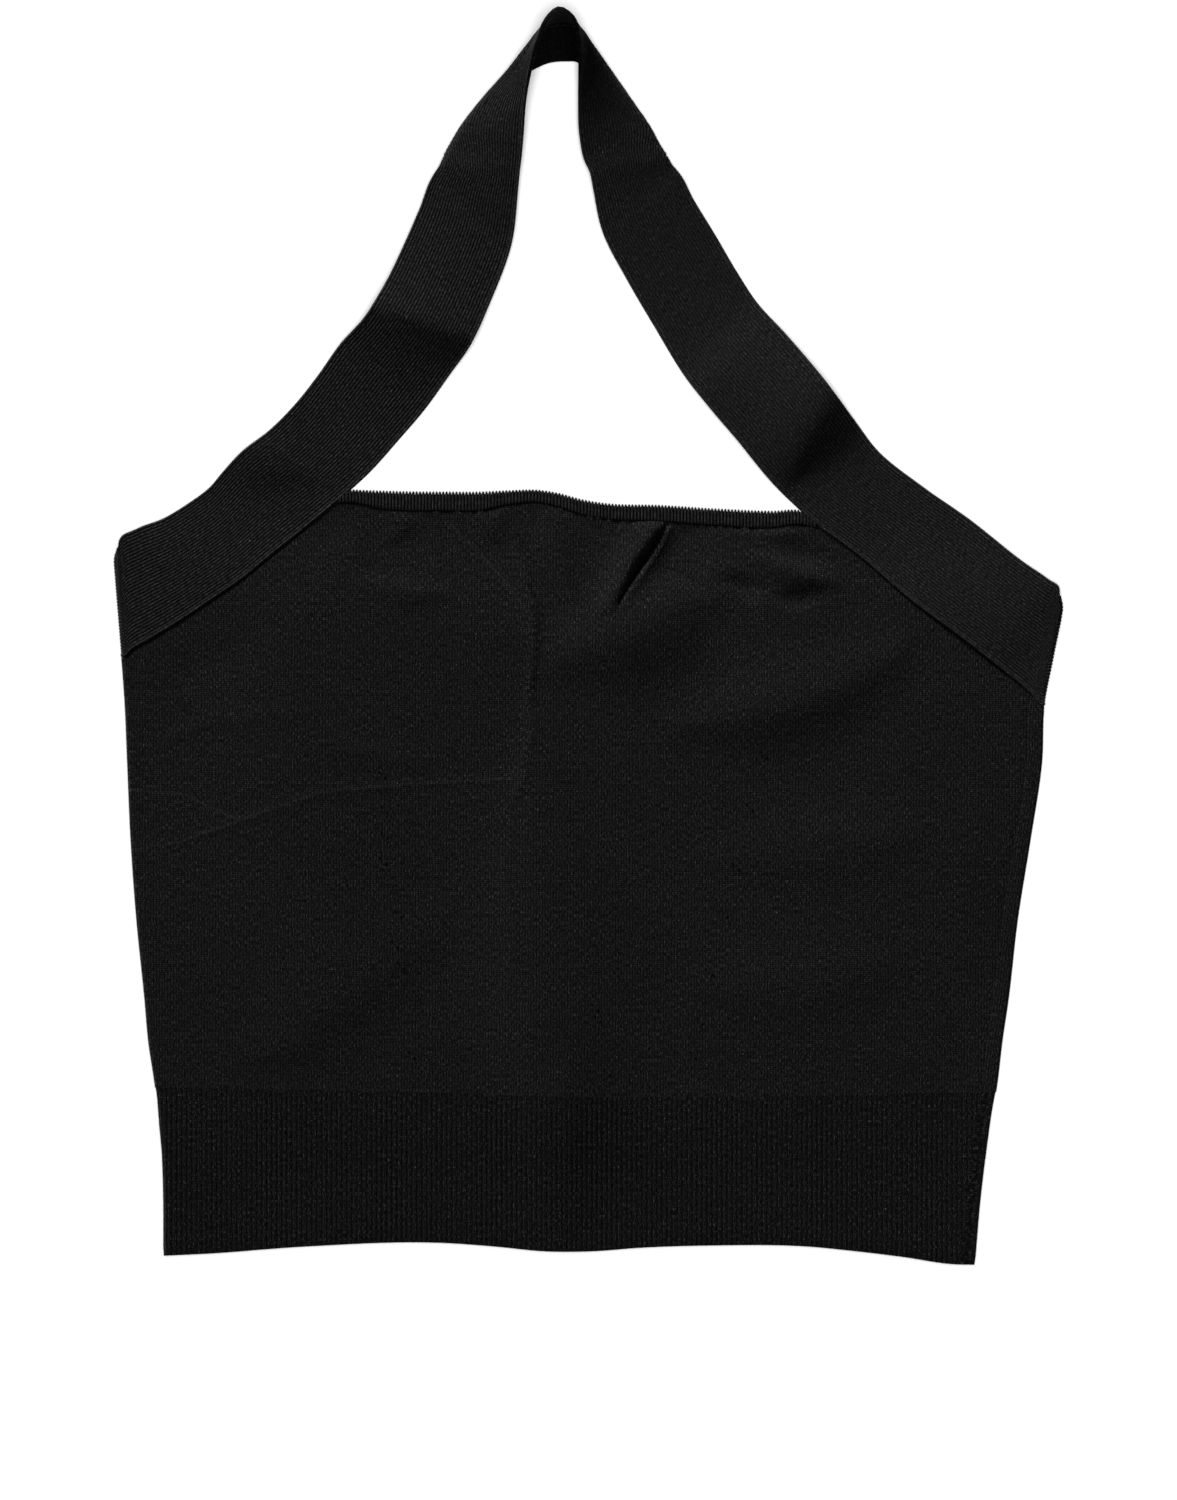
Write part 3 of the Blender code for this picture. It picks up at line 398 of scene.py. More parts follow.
class Shader:
    """Adds nodes to one material and joins them."""

    def __init__(self, name, roughness, specular, sheen):
        self.material = bpy.data.materials.new(name)
        self.material.use_nodes = True
        self.tree = self.material.node_tree
        self.surface = self.tree.nodes["Principled BSDF"].inputs
        for socket, value in (
            ("Metallic", 0.0), ("Specular IOR Level", specular), ("Sheen Weight", sheen),
            ("Sheen Roughness", 0.5), ("Roughness", roughness),
        ):
            self.surface[socket].default_value = value

    def node(self, kind, **settings):
        made = self.tree.nodes.new(kind)
        for key, value in settings.items():
            setattr(made, key, value)
        return made

    def put(self, socket, value):
        if isinstance(value, bpy.types.NodeSocket):
            self.tree.links.new(value, socket)
        else:
            socket.default_value = value

    def math(self, operation, *values, clamp=False):
        made = self.node("ShaderNodeMath", operation=operation, use_clamp=clamp)
        for socket, value in zip(made.inputs, values):
            self.put(socket, value)
        return made.outputs[0]

    def product(self, first, *others):
        for value in others:
            first = self.math("MULTIPLY", first, value)
        return first

    def spread(self, value, low, high):
        """A value from 0 to 1, spread out from low to high."""
        return self.math("MULTIPLY_ADD", value, high - low, low)

    def noise(self, vector, scale, detail, stretch=(1.0, 1.0, 1.0)):
        mapping = self.node("ShaderNodeMapping")
        self.put(mapping.inputs["Vector"], vector)
        mapping.inputs["Scale"].default_value = stretch
        made = self.node("ShaderNodeTexNoise")
        self.put(made.inputs["Vector"], mapping.outputs[0])
        made.inputs["Scale"].default_value = scale
        made.inputs["Detail"].default_value = detail
        return made.outputs["Fac"]

    def grey(self, value):
        """Gives the surface its colour."""
        made = self.node("ShaderNodeCombineColor")
        for socket in made.inputs:
            self.put(socket, value)
        self.put(self.surface["Base Color"], made.outputs[0])

    def bump(self, height, strength, depth):
        made = self.node("ShaderNodeBump")
        made.inputs["Strength"].default_value = strength
        made.inputs["Distance"].default_value = depth * MM
        self.put(made.inputs["Height"], height)
        self.put(self.surface["Normal"], made.outputs[0])

    def stitches(self, across, along, wale, course, fullness):
        """Height of the stitches, 0 to 1: each wale is a row of small V shapes between two grooves.  The
        knit's colour follows it too, which paints shade into the grooves.
        """
        place = self.math("FRACT", self.math("DIVIDE", across, wale * MM))
        off_centre = self.math("ABSOLUTE", self.math("MULTIPLY_ADD", place, 2.0, -1.0))
        body = self.math("SUBTRACT", 1.0, self.math("POWER", off_centre, fullness))
        legs = self.math("MULTIPLY_ADD", off_centre, 2.0, LEG_SHADE, clamp=True)
        row = self.math("DIVIDE", along, course * MM)
        slanted = self.math("MULTIPLY_ADD", off_centre, -STITCH_SLANT, row)
        wave = self.math("COSINE", self.math("MULTIPLY", slanted, 2.0 * np.pi))
        return self.product(body, legs, self.spread(wave, COURSE_SHADE, 1.0))

    def lint(self, vector):
        """Rare tiny fibres caught on the cloth: 1 on a fibre and 0 elsewhere."""
        made = self.node("ShaderNodeTexVoronoi", feature="F1")
        self.put(made.inputs["Vector"], vector)
        made.inputs["Scale"].default_value = 1.0 / (LINT_CELL * MM)
        tint = self.node("ShaderNodeSeparateColor")
        self.put(tint.inputs[0], made.outputs["Color"])
        near = self.math("LESS_THAN", made.outputs["Distance"], LINT_SIZE / LINT_CELL)
        return self.math("MULTIPLY", near, self.math("LESS_THAN", tint.outputs[0], LINT_SHARE))

    def line_mask(self, across, along, lines):
        """1 on a few lines where a sheen is painted, and 0 away from them."""
        best = None
        for line in lines:
            for (x0, y0), (x1, y1) in zip(line[:-1], line[1:]):
                run_x, run_y = (x1 - x0) * MM, (y1 - y0) * MM
                square = run_x**2 + run_y**2
                x = self.math("SUBTRACT", across, x0 * MM)
                y = self.math("SUBTRACT", along, y0 * MM)
                share = self.math("MULTIPLY", x, run_x / square)
                share = self.math("MULTIPLY_ADD", y, run_y / square, share, clamp=True)
                off_x = self.math("MULTIPLY_ADD", share, -run_x, x)
                off_y = self.math("MULTIPLY_ADD", share, -run_y, y)
                square_off = self.math("MULTIPLY", off_x, off_x)
                square_off = self.math("MULTIPLY_ADD", off_y, off_y, square_off)
                best = square_off if best is None else self.math("MINIMUM", best, square_off)
        away = self.math("DIVIDE", self.math("SQRT", best), PRESS_WIDTH * MM)
        return self.math("SUBTRACT", 1.0, away, clamp=True)


def knit_material(
    name, shade, groove, wale=WALE, course=COURSE, fullness=2.4, heather=1.0, roughness=0.88,
    edges=(), sheen_lines=(),
):
    """Black knit: stitches with painted shade in their grooves, uneven yarn, fuzz and a few caught fibres.

    shade: its grey.  groove: share of it that is left between the stitches, as painted shade in the
    grooves.
    fullness: how narrow the grooves between the wales are.
    edges: places across the knit, in millimetres, where a highlight is painted along a selvedge stitch.
    """
    shader = Shader(name, roughness, specular=0.08, sheen=0.03)
    uv = shader.node("ShaderNodeUVMap", uv_map="knit").outputs[0]
    parts = shader.node("ShaderNodeSeparateXYZ")
    shader.put(parts.inputs[0], uv)
    across, along = parts.outputs[0], parts.outputs[1]
    stitch = shader.stitches(across, along, wale, course, fullness)
    fleck = shader.noise(uv, 1.0 / (FLECK * MM), 2.0, stretch=FLECK_STRETCH)
    fuzz = shader.noise(uv, 1.0 / (FUZZ * MM), 1.0)
    patches = shader.noise(uv, 1.0 / (PATCH * MM), 2.0)
    clouds = shader.noise(uv, 1.0 / (CLOUD * MM), 3.0)
    flecks = shader.math("POWER", shader.math("MULTIPLY", fleck, 2.0), heather * FLECK_CONTRAST)
    fuzzy = shader.math("POWER", shader.math("MULTIPLY", fuzz, 2.0), heather * FUZZ_CONTRAST)
    # The tone runs from the groove share between stitches up to the crest tone: painted shade in the
    # grooves.
    tone = shader.product(
        shader.spread(stitch, groove, CREST_TONE), shader.spread(patches, *PATCH_TONE),
        shader.spread(clouds, *CLOUD_TONE), flecks, fuzzy,
    )
    # A painted highlight along each selvedge.
    for place in edges:
        away = shader.math("ABSOLUTE", shader.math("SUBTRACT", across, place * MM))
        paler = shader.math("LESS_THAN", away, SELVEDGE_LINE * MM)
        tone = shader.math("MULTIPLY", tone, shader.spread(paler, 1.0, SELVEDGE_HIGHLIGHT))
    # A painted sheen along the pressed lines: the colour is made paler there.
    if sheen_lines:
        pressed_sheen = shader.math("MULTIPLY", shader.line_mask(across, along, sheen_lines), fuzzy)
        tone = shader.math("MULTIPLY_ADD", pressed_sheen, PRESS_SHEEN, tone)
    tone = shader.math("MULTIPLY_ADD", shader.lint(uv), LINT_TONE, tone)
    shader.grey(shader.math("MULTIPLY", tone, shade))
    height = shader.math("MULTIPLY_ADD", fuzz, FUZZ_RELIEF * heather, stitch)
    shader.bump(shader.math("MULTIPLY_ADD", fleck, FLECK_RELIEF * heather, height), *STITCH_BUMP)
    rough = shader.spread(fuzz, roughness - ROUGHNESS_SPREAD, roughness + ROUGHNESS_SPREAD)
    shader.put(shader.surface["Roughness"], rough)
    return shader.material


def shade_thread_material(name, shade):
    """Twisted yarn of the linking stitches and knots, its near-black grey painted shade for the shadows in
    the seam's groove and the pits by the knots.
    """
    shader = Shader(name, 0.8, specular=0.1, sheen=0.03)
    ply = shader.noise(shader.node("ShaderNodeTexCoord").outputs["Object"], 1.0 / (PLY * MM), 2.0)
    shader.grey(shader.math("MULTIPLY", shader.spread(ply, *PLY_TONE), shade))
    shader.bump(ply, *PLY_BUMP)
    return shader.material


def floor_material():
    shader = Shader("pale_floor", 0.9, specular=0.1, sheen=0.0)
    grain = shader.noise(shader.node("ShaderNodeTexCoord").outputs["Object"], FLOOR_GRAIN, 3.0)
    shader.grey(shader.spread(grain, *FLOOR_TONE))
    return shader.material


# ---- walls of cloth

def quads(rows, cols, start=0, flip=False, closed=False):
    """Quads of a grid of points, facing the way that columns to the right and rows upward give.

    closed: the last column meets the first one.
    """
    left = np.arange(cols if closed else cols - 1)
    right = (left + 1) % cols
    low = start + np.arange(rows - 1)[:, None] * cols
    high = low + cols
    made = np.stack([low + left, low + right, high + right, high + left], axis=-1).reshape(-1, 4)
    return made[:, ::-1] if flip else made


def rim_quads(rows, cols):
    """Quads that join the two faces of a wall along its four edges."""
    behind = rows * cols
    index = np.arange(rows * cols).reshape(rows, cols)
    loop = np.concatenate([index[0, :-1], index[:-1, -1], index[-1, :0:-1], index[:0:-1, 0]])
    after = np.roll(loop, -1)
    return np.stack([after, loop, loop + behind, after + behind], axis=-1)


def add_object(name, data):
    made = bpy.data.objects.new(name, data)
    bpy.context.scene.collection.objects.link(made)
    return made


def new_piece(name, points, faces, material, uv=None):
    """A piece that rides with the garment, from points in millimetres."""
    mesh = bpy.data.meshes.new(name)
    mesh.from_pydata((np.asarray(points) * MM).tolist(), [], [tuple(face) for face in faces])
    if uv is not None:
        layer = mesh.uv_layers.new(name="knit")
        corners = np.zeros(len(mesh.loops), dtype=np.int32)
        mesh.loops.foreach_get("vertex_index", corners)
        layer.uv.foreach_set("vector", (np.asarray(uv) * MM)[corners].astype(np.float32).ravel())
    mesh.validate()
    mesh.materials.append(material)
    mesh.shade_smooth()
    mesh.set_sharp_from_angle(angle=np.radians(SHARP_ANGLE))
    piece = add_object(name, mesh)
    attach(piece, "root")
    return piece


def knit_grid(middle, level=None):
    """Place of each point in the knit: distance across along the middle row, and distance along."""
    across = distances(middle[len(middle) // 2])
    if level is None:
        level = distances(middle[:, middle.shape[1] // 2])[:, None]
    return np.stack(np.broadcast_arrays(across[None, :], level), axis=-1)


def cloth_wall(name, middle, thickness, material, outer, inner, uv):
    """A closed wall from its middle surface; outer and inner are the relief of its two faces."""
    rows, cols = middle.shape[:2]
    normal = np.cross(np.gradient(middle, axis=1), np.gradient(middle, axis=0))
    normal /= np.linalg.norm(normal, axis=2, keepdims=True)
    front = middle + normal * (thickness / 2 + np.broadcast_to(outer, (rows, cols)))[..., None]
    behind = middle - normal * (thickness / 2 + np.broadcast_to(inner, (rows, cols)))[..., None]
    points = np.concatenate([front.reshape(-1, 3), behind.reshape(-1, 3)])
    points[:, 2] = np.maximum(points[:, 2], 0.0)  # flat where it rests on the floor
    faces = np.concatenate([
        quads(rows, cols), quads(rows, cols, start=rows * cols, flip=True), rim_quads(rows, cols),
    ])
    piece = new_piece(name, points, faces, material, np.concatenate([uv.reshape(-1, 2)] * 2))
    return piece, front


def rib_wave(phase):
    """Rounded ribs with narrow grooves: 0 in a groove, 1 on a rib."""
    return np.abs(np.sin(np.pi * phase))


# ---- strap and back band

def arm_section(row):
    inner, outer = (row.inner_x, row.inner_y, BAND_HALF), (row.outer_x, row.outer_y, BAND_HALF)
    section = np.linspace(inner, outer, ACROSS_POINTS)
    rise = np.linspace(row.inner_rise, row.outer_rise, ACROSS_POINTS)
    section[:, 2] += lift(section[:, 0], section[:, 1]) + rise
    return section


def neck_section(row):
    """A section of the neck, where the strap stands on its tucked outer part."""
    inner = np.array([row.inner_x, row.inner_y, BAND_HALF + row.inner_rise])
    fold = np.array([row.fold_x, row.fold_y, BAND_HALF])
    outer = np.array([row.outer_x, row.outer_y, BAND_HALF + row.outer_rise])
    to_inner = (inner - fold) * (1, 1, 0)
    to_outer = (outer - fold) * (1, 1, 0)
    hidden = np.linalg.norm(to_outer)
    upper = fold + row.bend * to_inner / np.linalg.norm(to_inner) + (0, 0, row.upper_rise)
    lower = fold + min(row.bend, hidden / 2) * to_outer / hidden + (0, 0, row.lower_rise)
    handle_in = upper + BEND_BULGE * (fold - upper) * (1, 1, 0)
    handle_out = lower + BEND_BULGE * (fold - lower) * (1, 1, 0)
    down = np.linspace(0.0, 1.0, UPPER_STEPS, endpoint=False)[:, None]
    slope = inner + down * (upper - inner)
    slope[:, 2] = upper[2] + (inner[2] - upper[2]) * (1.0 - down[:, 0]) ** row.fall
    t = np.linspace(0.0, 1.0, BEND_STEPS, endpoint=False)[:, None]
    curl = (1 - t)**3 * upper + 3 * t * (1 - t)**2 * handle_in
    curl = curl + 3 * t**2 * (1 - t) * handle_out + t**3 * lower
    return np.vstack([slope, curl, np.linspace(lower, outer, LOWER_STEPS + 1)])


def side_section(side_x, inward, end, angle):
    """A section on a side fold: angle 180 is on top, 0 underneath."""
    radius = (FRONT_LIFT + BAND_THICKNESS) / 2
    middle = radius - BAND_HALF
    turn = np.radians(angle)
    high = end.top + CORNER_RISE * np.sin(turn)
    y = np.linspace(end.bottom, high, ACROSS_POINTS)
    corner = CORNER_DRAW * np.clip((y - end.top) / CORNER_RISE + 1.0, 0.0, None) ** 2
    x = side_x(y) + inward * (radius - middle * np.sin(turn) + corner)
    return np.column_stack([x, y, np.full_like(y, radius - middle * np.cos(turn))])


def end_section(side_x, inward, end):
    """The last section underneath, where the strap meets its stretch across the back."""
    low_x = float(side_x(end.bottom)) + inward * SEAM_INSET
    high_x = float(side_x(end.top)) + inward * SEAM_INSET
    low = (low_x, float(back_band_bottom(low_x)), BAND_HALF)
    high = (high_x, float(back_band_top(high_x)), BAND_HALF)
    return np.linspace(low, high, ACROSS_POINTS)


def loft(sections):
    """Rows of points along a smooth path through every control section."""
    sections = np.array(sections)
    gaps = np.linalg.norm(np.diff(sections, axis=0), axis=2).mean(axis=1)
    keys = np.concatenate([[0.0], np.cumsum(gaps)])
    stations = [keys[0]]
    for key, gap in zip(keys, gaps):
        count = max(1, int(round(gap / BAND_STEP)))
        stations += [key + gap * (k + 1) / count for k in range(count)]
    rows = np.zeros((len(stations), ACROSS_POINTS, 3))
    for point in range(ACROSS_POINTS):
        for axis in range(3):
            rows[:, point, axis] = smooth(keys, sections[:, point, axis], stations)
    return rows


def evenly(row, count):
    """Points at even distances along a row."""
    run = distances(row)
    return read_line(row, run, np.linspace(0.0, run[-1], count))


def strap_middle():
    """Middle surface of the strap: rows from the left underside over the neck to the right underside."""
    left, right = BACK_BAND[0], BACK_BAND[-1]
    turns = np.linspace(0.0, 180.0, FOLD_STEPS + 1)
    start = [end_section(left_x, 1.0, left)] + [side_section(left_x, 1.0, left, angle) for angle in turns]
    finish = [side_section(right_x, -1.0, right, angle) for angle in turns[::-1]]
    finish += [end_section(right_x, -1.0, right)]
    arms = [start[-1]] + [arm_section(row) for row in LEFT_ARM] + [neck_section(row) for row in NECK]
    arms += [arm_section(row) for row in RIGHT_ARM] + [finish[0]]
    rows = loft(arms)
    x, y = rows[..., 0], rows[..., 1]
    on_arm = 1.0 - ease((y - ARM_TOP) / ARM_TOP_RUN)
    ridge = np.maximum(crease_height(BAND_CREASES, x, y), 0.0) * on_arm
    rows[..., 2] = np.maximum(rows[..., 2], BAND_HALF) + ridge
    return np.array([evenly(row, BAND_POINTS) for row in start[:-1] + list(rows) + finish[1:]])


def band_relief(share, shift):
    """Relief of one face of the band: fine ribs and a thicker selvedge.

    shift: 0.5 puts the ribs of the inner face between those of the outer one.
    """
    ribs = rib_wave(share * BAND_RIBS + shift)
    edge = np.clip(1.0 - np.minimum(share, 1.0 - share) / SELVEDGE, 0.0, 1.0)
    rounding = 1.0 - np.sqrt(1.0 - edge**4)
    selvedge = SELVEDGE_RISE * np.sin(np.pi * edge)
    relief = BAND_RIB_HEIGHT * (ribs - 1.0) * (1.0 - edge) + selvedge
    return relief - BAND_HALF * rounding * SELVEDGE_ROUNDING


def band_wall(name, middle, highest, order, material):
    """A wall of the band.  highest: how far the selvedges may stand out of its outer face."""
    share = np.linspace(0.0, 1.0, BAND_POINTS)
    uv = knit_grid(middle)
    uv[..., 0] = share * BAND_RIBS * WALE
    outer = np.minimum(band_relief(share, 0.0), highest)[None, order]
    inner = np.minimum(band_relief(share, 0.5), 0.0)[None, order]
    piece, _ = cloth_wall(
        name, middle[:, order], BAND_THICKNESS, material, outer, inner, uv[:, order],
    )
    return piece


def halter_strap(material):
    middle = strap_middle()
    piece = band_wall("halter_strap_knit", middle, SELVEDGE_RISE, TURNED, material)
    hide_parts("halter_strap")
    return piece, middle


def back_band(material, seam):
    """The band across the back, flat on the floor between the ends of the strap."""
    west = float(left_x(BACK_BAND[0].top)) + SEAM_INSET
    east = float(right_x(BACK_BAND[-1].top)) - SEAM_INSET
    low_x = np.linspace(seam[1, 0], seam[-2, 0], BACK_BAND_ROWS)
    high_x = np.linspace(west, east, BACK_BAND_ROWS)
    z = np.full(BACK_BAND_ROWS, BAND_HALF)
    low = np.column_stack([low_x, np.interp(low_x, seam[:, 0], seam[:, 1]), z])
    high = np.column_stack([high_x, back_band_top(high_x), z])
    middle = np.linspace(low, high, BAND_POINTS, axis=1)
    piece = band_wall("back_band_knit", middle, 0.0, STRAIGHT, material)
    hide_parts("back_band")
    return piece


# ---- the tube of jersey and hem

def tube_column(kind, value, y, thickness):
    """x and z of one column of the flattened tube's middle surface, at heights y.

    under: distance in from the left fold; left, right: angle round that fold, 180 on top;
    top, flat: share of the way across the front or the back; over: distance in from the right fold.
    """
    west, east = left_x(y), right_x(y)
    radius = (FRONT_LIFT + thickness) / 2
    middle = radius - thickness / 2
    turn = np.radians(value)
    on_floor = np.full_like(west, thickness / 2)
    if kind == "under":
        return west + value, on_floor
    if kind == "left":
        return west + radius - middle * np.sin(turn), np.full_like(west, radius - middle * np.cos(turn))
    if kind == "top":
        x = west + radius + value * (east - SEAM_INSET - west - radius)
        return x, thickness / 2 + lift(x, y)
    if kind == "flat":
        start = west + SEAM_INSET - TUCK
        return start + value * (east - radius - start), on_floor
    if kind == "right":
        return east - radius + middle * np.sin(turn), np.full_like(west, radius - middle * np.cos(turn))
    return east - value, np.full_like(west, FRONT_LIFT + thickness / 2)


def tube_grid(columns, low_edge, high_edge, shares, thickness):
    """Middle surface between two edges, each given as a height over kind and x."""
    grid = []
    for kind, value in columns:
        ends = []
        for edge in (low_edge, high_edge):
            y = edge(kind, np.zeros(1))
            for _ in range(EDGE_ROUNDS):
                y = edge(kind, tube_column(kind, value, y, thickness)[0])
            ends.append(y[0])
        y = ends[0] + shares * (ends[1] - ends[0])
        x, z = tube_column(kind, value, y, thickness)
        grid.append(np.column_stack([x, y, z]))
    return np.array(grid).transpose(1, 0, 2)


def fold_columns(kind):
    return [(kind, angle) for angle in np.linspace(0.0, 180.0, FOLD_STEPS + 1)]


UNDER_COLUMNS = [("under", SEAM_INSET), ("under", FOLD_COLUMN)]
FRONT_TURN = len(UNDER_COLUMNS) + FOLD_STEPS + 1  # columns before those that lie on top


def low_rib(kind, x):
    return rib_start(x)


def panel_top(seam, top_line):
    """Height of a panel's upper edge: the seam underneath, the band's corner at a fold, or the top line."""
    corners = {"left": BACK_BAND[0].bottom, "right": BACK_BAND[-1].bottom}

    def edge(kind, x):
        if kind in corners:
            return np.full_like(x, corners[kind] + TUCK)
        line = seam if kind in ("under", "flat") else top_line
        return np.interp(x, line[:, 0], line[:, 1]) + TUCK

    return edge


def paced(start, end, step_at):
    """Shares of the way from start to end, at steps that change along the way."""
    places = [start]
    while places[-1] < end:
        places.append(places[-1] + step_at(places[-1]))
    places = np.array(places)
    return (places - start) / (places[-1] - start)


def column_step(x):
    step = COLUMN_STEP
    for finer in FINER_COLUMNS:
        step = step - finer.less * hump(x - finer.middle, finer.run)
    return step


def row_step(y):
    return ROW_STEP - ROW_STEP_LESS * ease((y - FINER_ROWS_START) / FINER_ROWS_RUN)


def along_trim(x):
    """1 below the neckline trim and 0 below the strap."""
    start, end = TRIM_SHOWS
    return ease((x - start) / TRIM_SHOWS_RUN) * ease((end - x) / TRIM_SHOWS_RUN)


def from_sides(x, y):
    return ease(np.minimum(x - left_x(y), right_x(y) - x) / SIDE_RUN)


def front_swell(x, y, low, high):
    """How far the front layer swells off its flat lie, less towards its edges."""
    from_top = ease((high - y) / STRAP_RUN)
    from_top = from_top + (1.0 - from_top) * TRIM_SWELL * along_trim(x)
    from_hem = HEM_SWELL + (1.0 - HEM_SWELL) * ease((y - low) / SWELL_RUN)
    return FRONT_SWELL * from_sides(x, y) * from_top * from_hem


def hem_swell(x, y, high):
    """The same swell carried on into the hem, down to nothing."""
    return FRONT_SWELL * HEM_SWELL * from_sides(x, y) * (1.0 - ease((high - y) / HEM_SWELL_RUN))


def wave_along(wave, x, y):
    """A wave down the pressed fold whose length drifts to and fro."""
    return np.sin(wave.rate * y + wave.drift * np.sin(y / wave.drift_length) + wave.slant * x)


def front_relief(x, y):
    """Height of the front panel above its flat lie, with its swell, creases, puckers and drawn seams."""
    below = y[-1:] - y
    near_right = right_x(y) - SEAM_INSET - x
    sides = np.minimum(x - left_x(y) - CREASE_SIDE_START, near_right)
    near_edge = ease((below + CREASE_TOP_START) / CREASE_TOP_RUN) * ease((y - y[:1]) / CREASE_HEM_RUN)
    near_edge = near_edge * ease(sides / CREASE_SIDE_RUN)
    crinkle = wave_along(CRINKLE_WAVE, x, y) * crease_height(CRINKLE, x, y)
    waver = wave_along(WAVER_WAVE, x, y) * crease_height(WAVER, x, y)
    height = front_swell(x, y, y[:1], y[-1:])
    height = height + (crease_height(FRONT_CREASES, x + waver, y) + crinkle) * near_edge
    height += crease_height(LONG_CREASES, x, y)

    under_trim = along_trim(x)
    phase = x / PUCKER_PITCH
    for share, length in PUCKER_DRIFTS:
        phase = phase + share * np.sin(x / length)
    strength = np.sin(x / PUCKER_GROUP + PUCKER_GROUP_START) ** 4
    pucker = PUCKER_HEIGHT * strength * under_trim * np.sin(2.0 * np.pi * phase)
    height += pucker * hump(below, PUCKER_RUN)
    drawn = 1.0 - (SEAM_DIP_CALM - strength) * under_trim
    height -= SEAM_DIP * drawn * hump(below, SEAM_DIP_RUN)
    height -= SIDE_DIP * hump(near_right, SIDE_DIP_RUN)
    return height


def panel_wall(name, middle, uv, material):
    """A wall of jersey whose two faces draw together along its edges, but not at the hem."""
    thin = np.zeros(middle.shape[:2])
    thin[-1] = (EDGE_SHARE - 1.0) * JERSEY_THICKNESS / 2
    thin[:, [0, -1]] = (SIDE_SEAM_SHARE - 1.0) * JERSEY_THICKNESS / 2
    return cloth_wall(name, middle, JERSEY_THICKNESS, material, thin, thin, uv)


def front_panel(material, seam, top_line):
    columns = UNDER_COLUMNS + fold_columns("left")
    columns += [("top", share) for share in paced(*FRONT_SPAN, column_step)[1:]]
    shares = paced(float(rib_start(0.0)), FRONT_TOP, row_step)
    middle = tube_grid(columns, low_rib, panel_top(seam, top_line), shares, JERSEY_THICKNESS)
    top = middle[:, FRONT_TURN:]
    lying = np.maximum(top[..., 2] + front_relief(top[..., 0], top[..., 1]), JERSEY_THICKNESS / 2)
    top[..., 2] = np.maximum(lying, top[..., 2] - SAG)
    # The wales run straight up the front, and round the fold before it
    uv = knit_grid(middle, middle[..., 1])
    uv[:, :FRONT_TURN, 0] += middle[:, FRONT_TURN, None, 0] - uv[:, FRONT_TURN, None, 0]
    uv[:, FRONT_TURN:, 0] = middle[:, FRONT_TURN:, 0]
    piece, front = panel_wall("front_panel_knit", middle, uv, material)
    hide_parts("front_panel")
    return piece, front


def back_panel(material, seam, top_line):
    over = [("over", value) for value in (FOLD_COLUMN, BACK_FLAP_COLUMN, SEAM_INSET + TUCK)]
    columns = [("flat", share) for share in np.linspace(0.0, 1.0, BACK_COLUMNS)]
    columns += fold_columns("right")[1:] + over
    shares = np.linspace(0.0, 1.0, BACK_ROWS)
    middle = tube_grid(columns, low_rib, panel_top(seam, top_line), shares, JERSEY_THICKNESS)
    flap = middle[:, -len(over):]
    flap[..., 2] += front_swell(flap[..., 0], flap[..., 1], flap[:1, :, 1], flap[-1:, :, 1])
    uv = knit_grid(middle, middle[..., 1])
    piece, _ = panel_wall("back_panel_knit", middle[:, TURNED], uv[:, TURNED], material)
    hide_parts("back_panel")
    return piece


def hem_uneven(phases, y):
    """Ribs stand out more in some places than in others."""
    short, long = SLOW_LENGTHS
    slow = RIB_SLOW * np.sin(phases / short) * np.sin(phases / long + SLOW_START)
    return RIB_MEAN + slow + RIB_QUICK * np.sin(phases * QUICK_RATE + y / QUICK_DRIFT)


def hem_wall(name, node, columns, turned, order, material):
    """One half of the hem: ribs on both faces, that grow out of the jersey and round off at the edge.

    turned: how many ribs each column lies round the fold, before or after the flat stretch.
    """
    shares = np.linspace(0.0, 1.0, HEM_ROWS) ** HEM_ROW_PACE
    middle = tube_grid(columns, lambda kind, x: hem_bottom(x), low_rib, shares, HEM_THICKNESS)
    x, y = middle[..., 0], middle[..., 1]
    flat = np.flatnonzero(turned == 0.0)
    edge = np.clip(np.arange(len(columns)), flat[0], flat[-1])
    phases = np.where(turned > 0.0, x[HEM_ROWS // 2, edge], x[:, edge]) / HEM_RIB_PITCH + turned
    below = y[-1:] - y
    grown = ease(below / HEM_FADE)
    on_top = np.array([kind in ("top", "over") for kind, value in columns])[None, :]
    relief = hem_swell(x, y, y[-1:]) + crease_height(LONG_CREASES, x, y)
    middle[..., 2] += np.where(on_top, relief, 0.0)
    # The middle surface of the thicker hem slopes down to that of the jersey
    thinner = (HEM_THICKNESS - JERSEY_THICKNESS) / 2 * (1.0 - ease(below / HEM_THICKEN))
    middle[..., 2] -= thinner
    welt = WELT_SHARE * HEM_THICKNESS / 2 * (1.0 - ease((y - y[:1]) / WELT_RUN))
    grooves = 1.0 - rib_wave(phases) ** HEM_RIB_ROUNDING
    inner_grooves = 1.0 - rib_wave(phases + 0.5) ** HEM_RIB_ROUNDING
    outer = -HEM_RIB_HEIGHT * grooves * grown * hem_uneven(phases, y) - thinner - welt
    inner = -INNER_RIB_SHARE * HEM_RIB_HEIGHT * inner_grooves * grown - thinner - welt
    uv = knit_grid(middle, y)
    uv[..., 0] = phases * 2.0 * WALE
    piece, _ = cloth_wall(
        name, middle[:, order], HEM_THICKNESS, material,
        outer=outer[:, order], inner=inner[:, order], uv=uv[:, order],
    )
    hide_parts(node)
    return piece


def rib_columns(kind):
    """Columns across one side of the hem, a few to each rib."""
    count = int(HEM_WIDTH / HEM_RIB_PITCH) * POINTS_PER_HEM_RIB + 1
    return [(kind, share) for share in np.linspace(0.0, 1.0, count)]


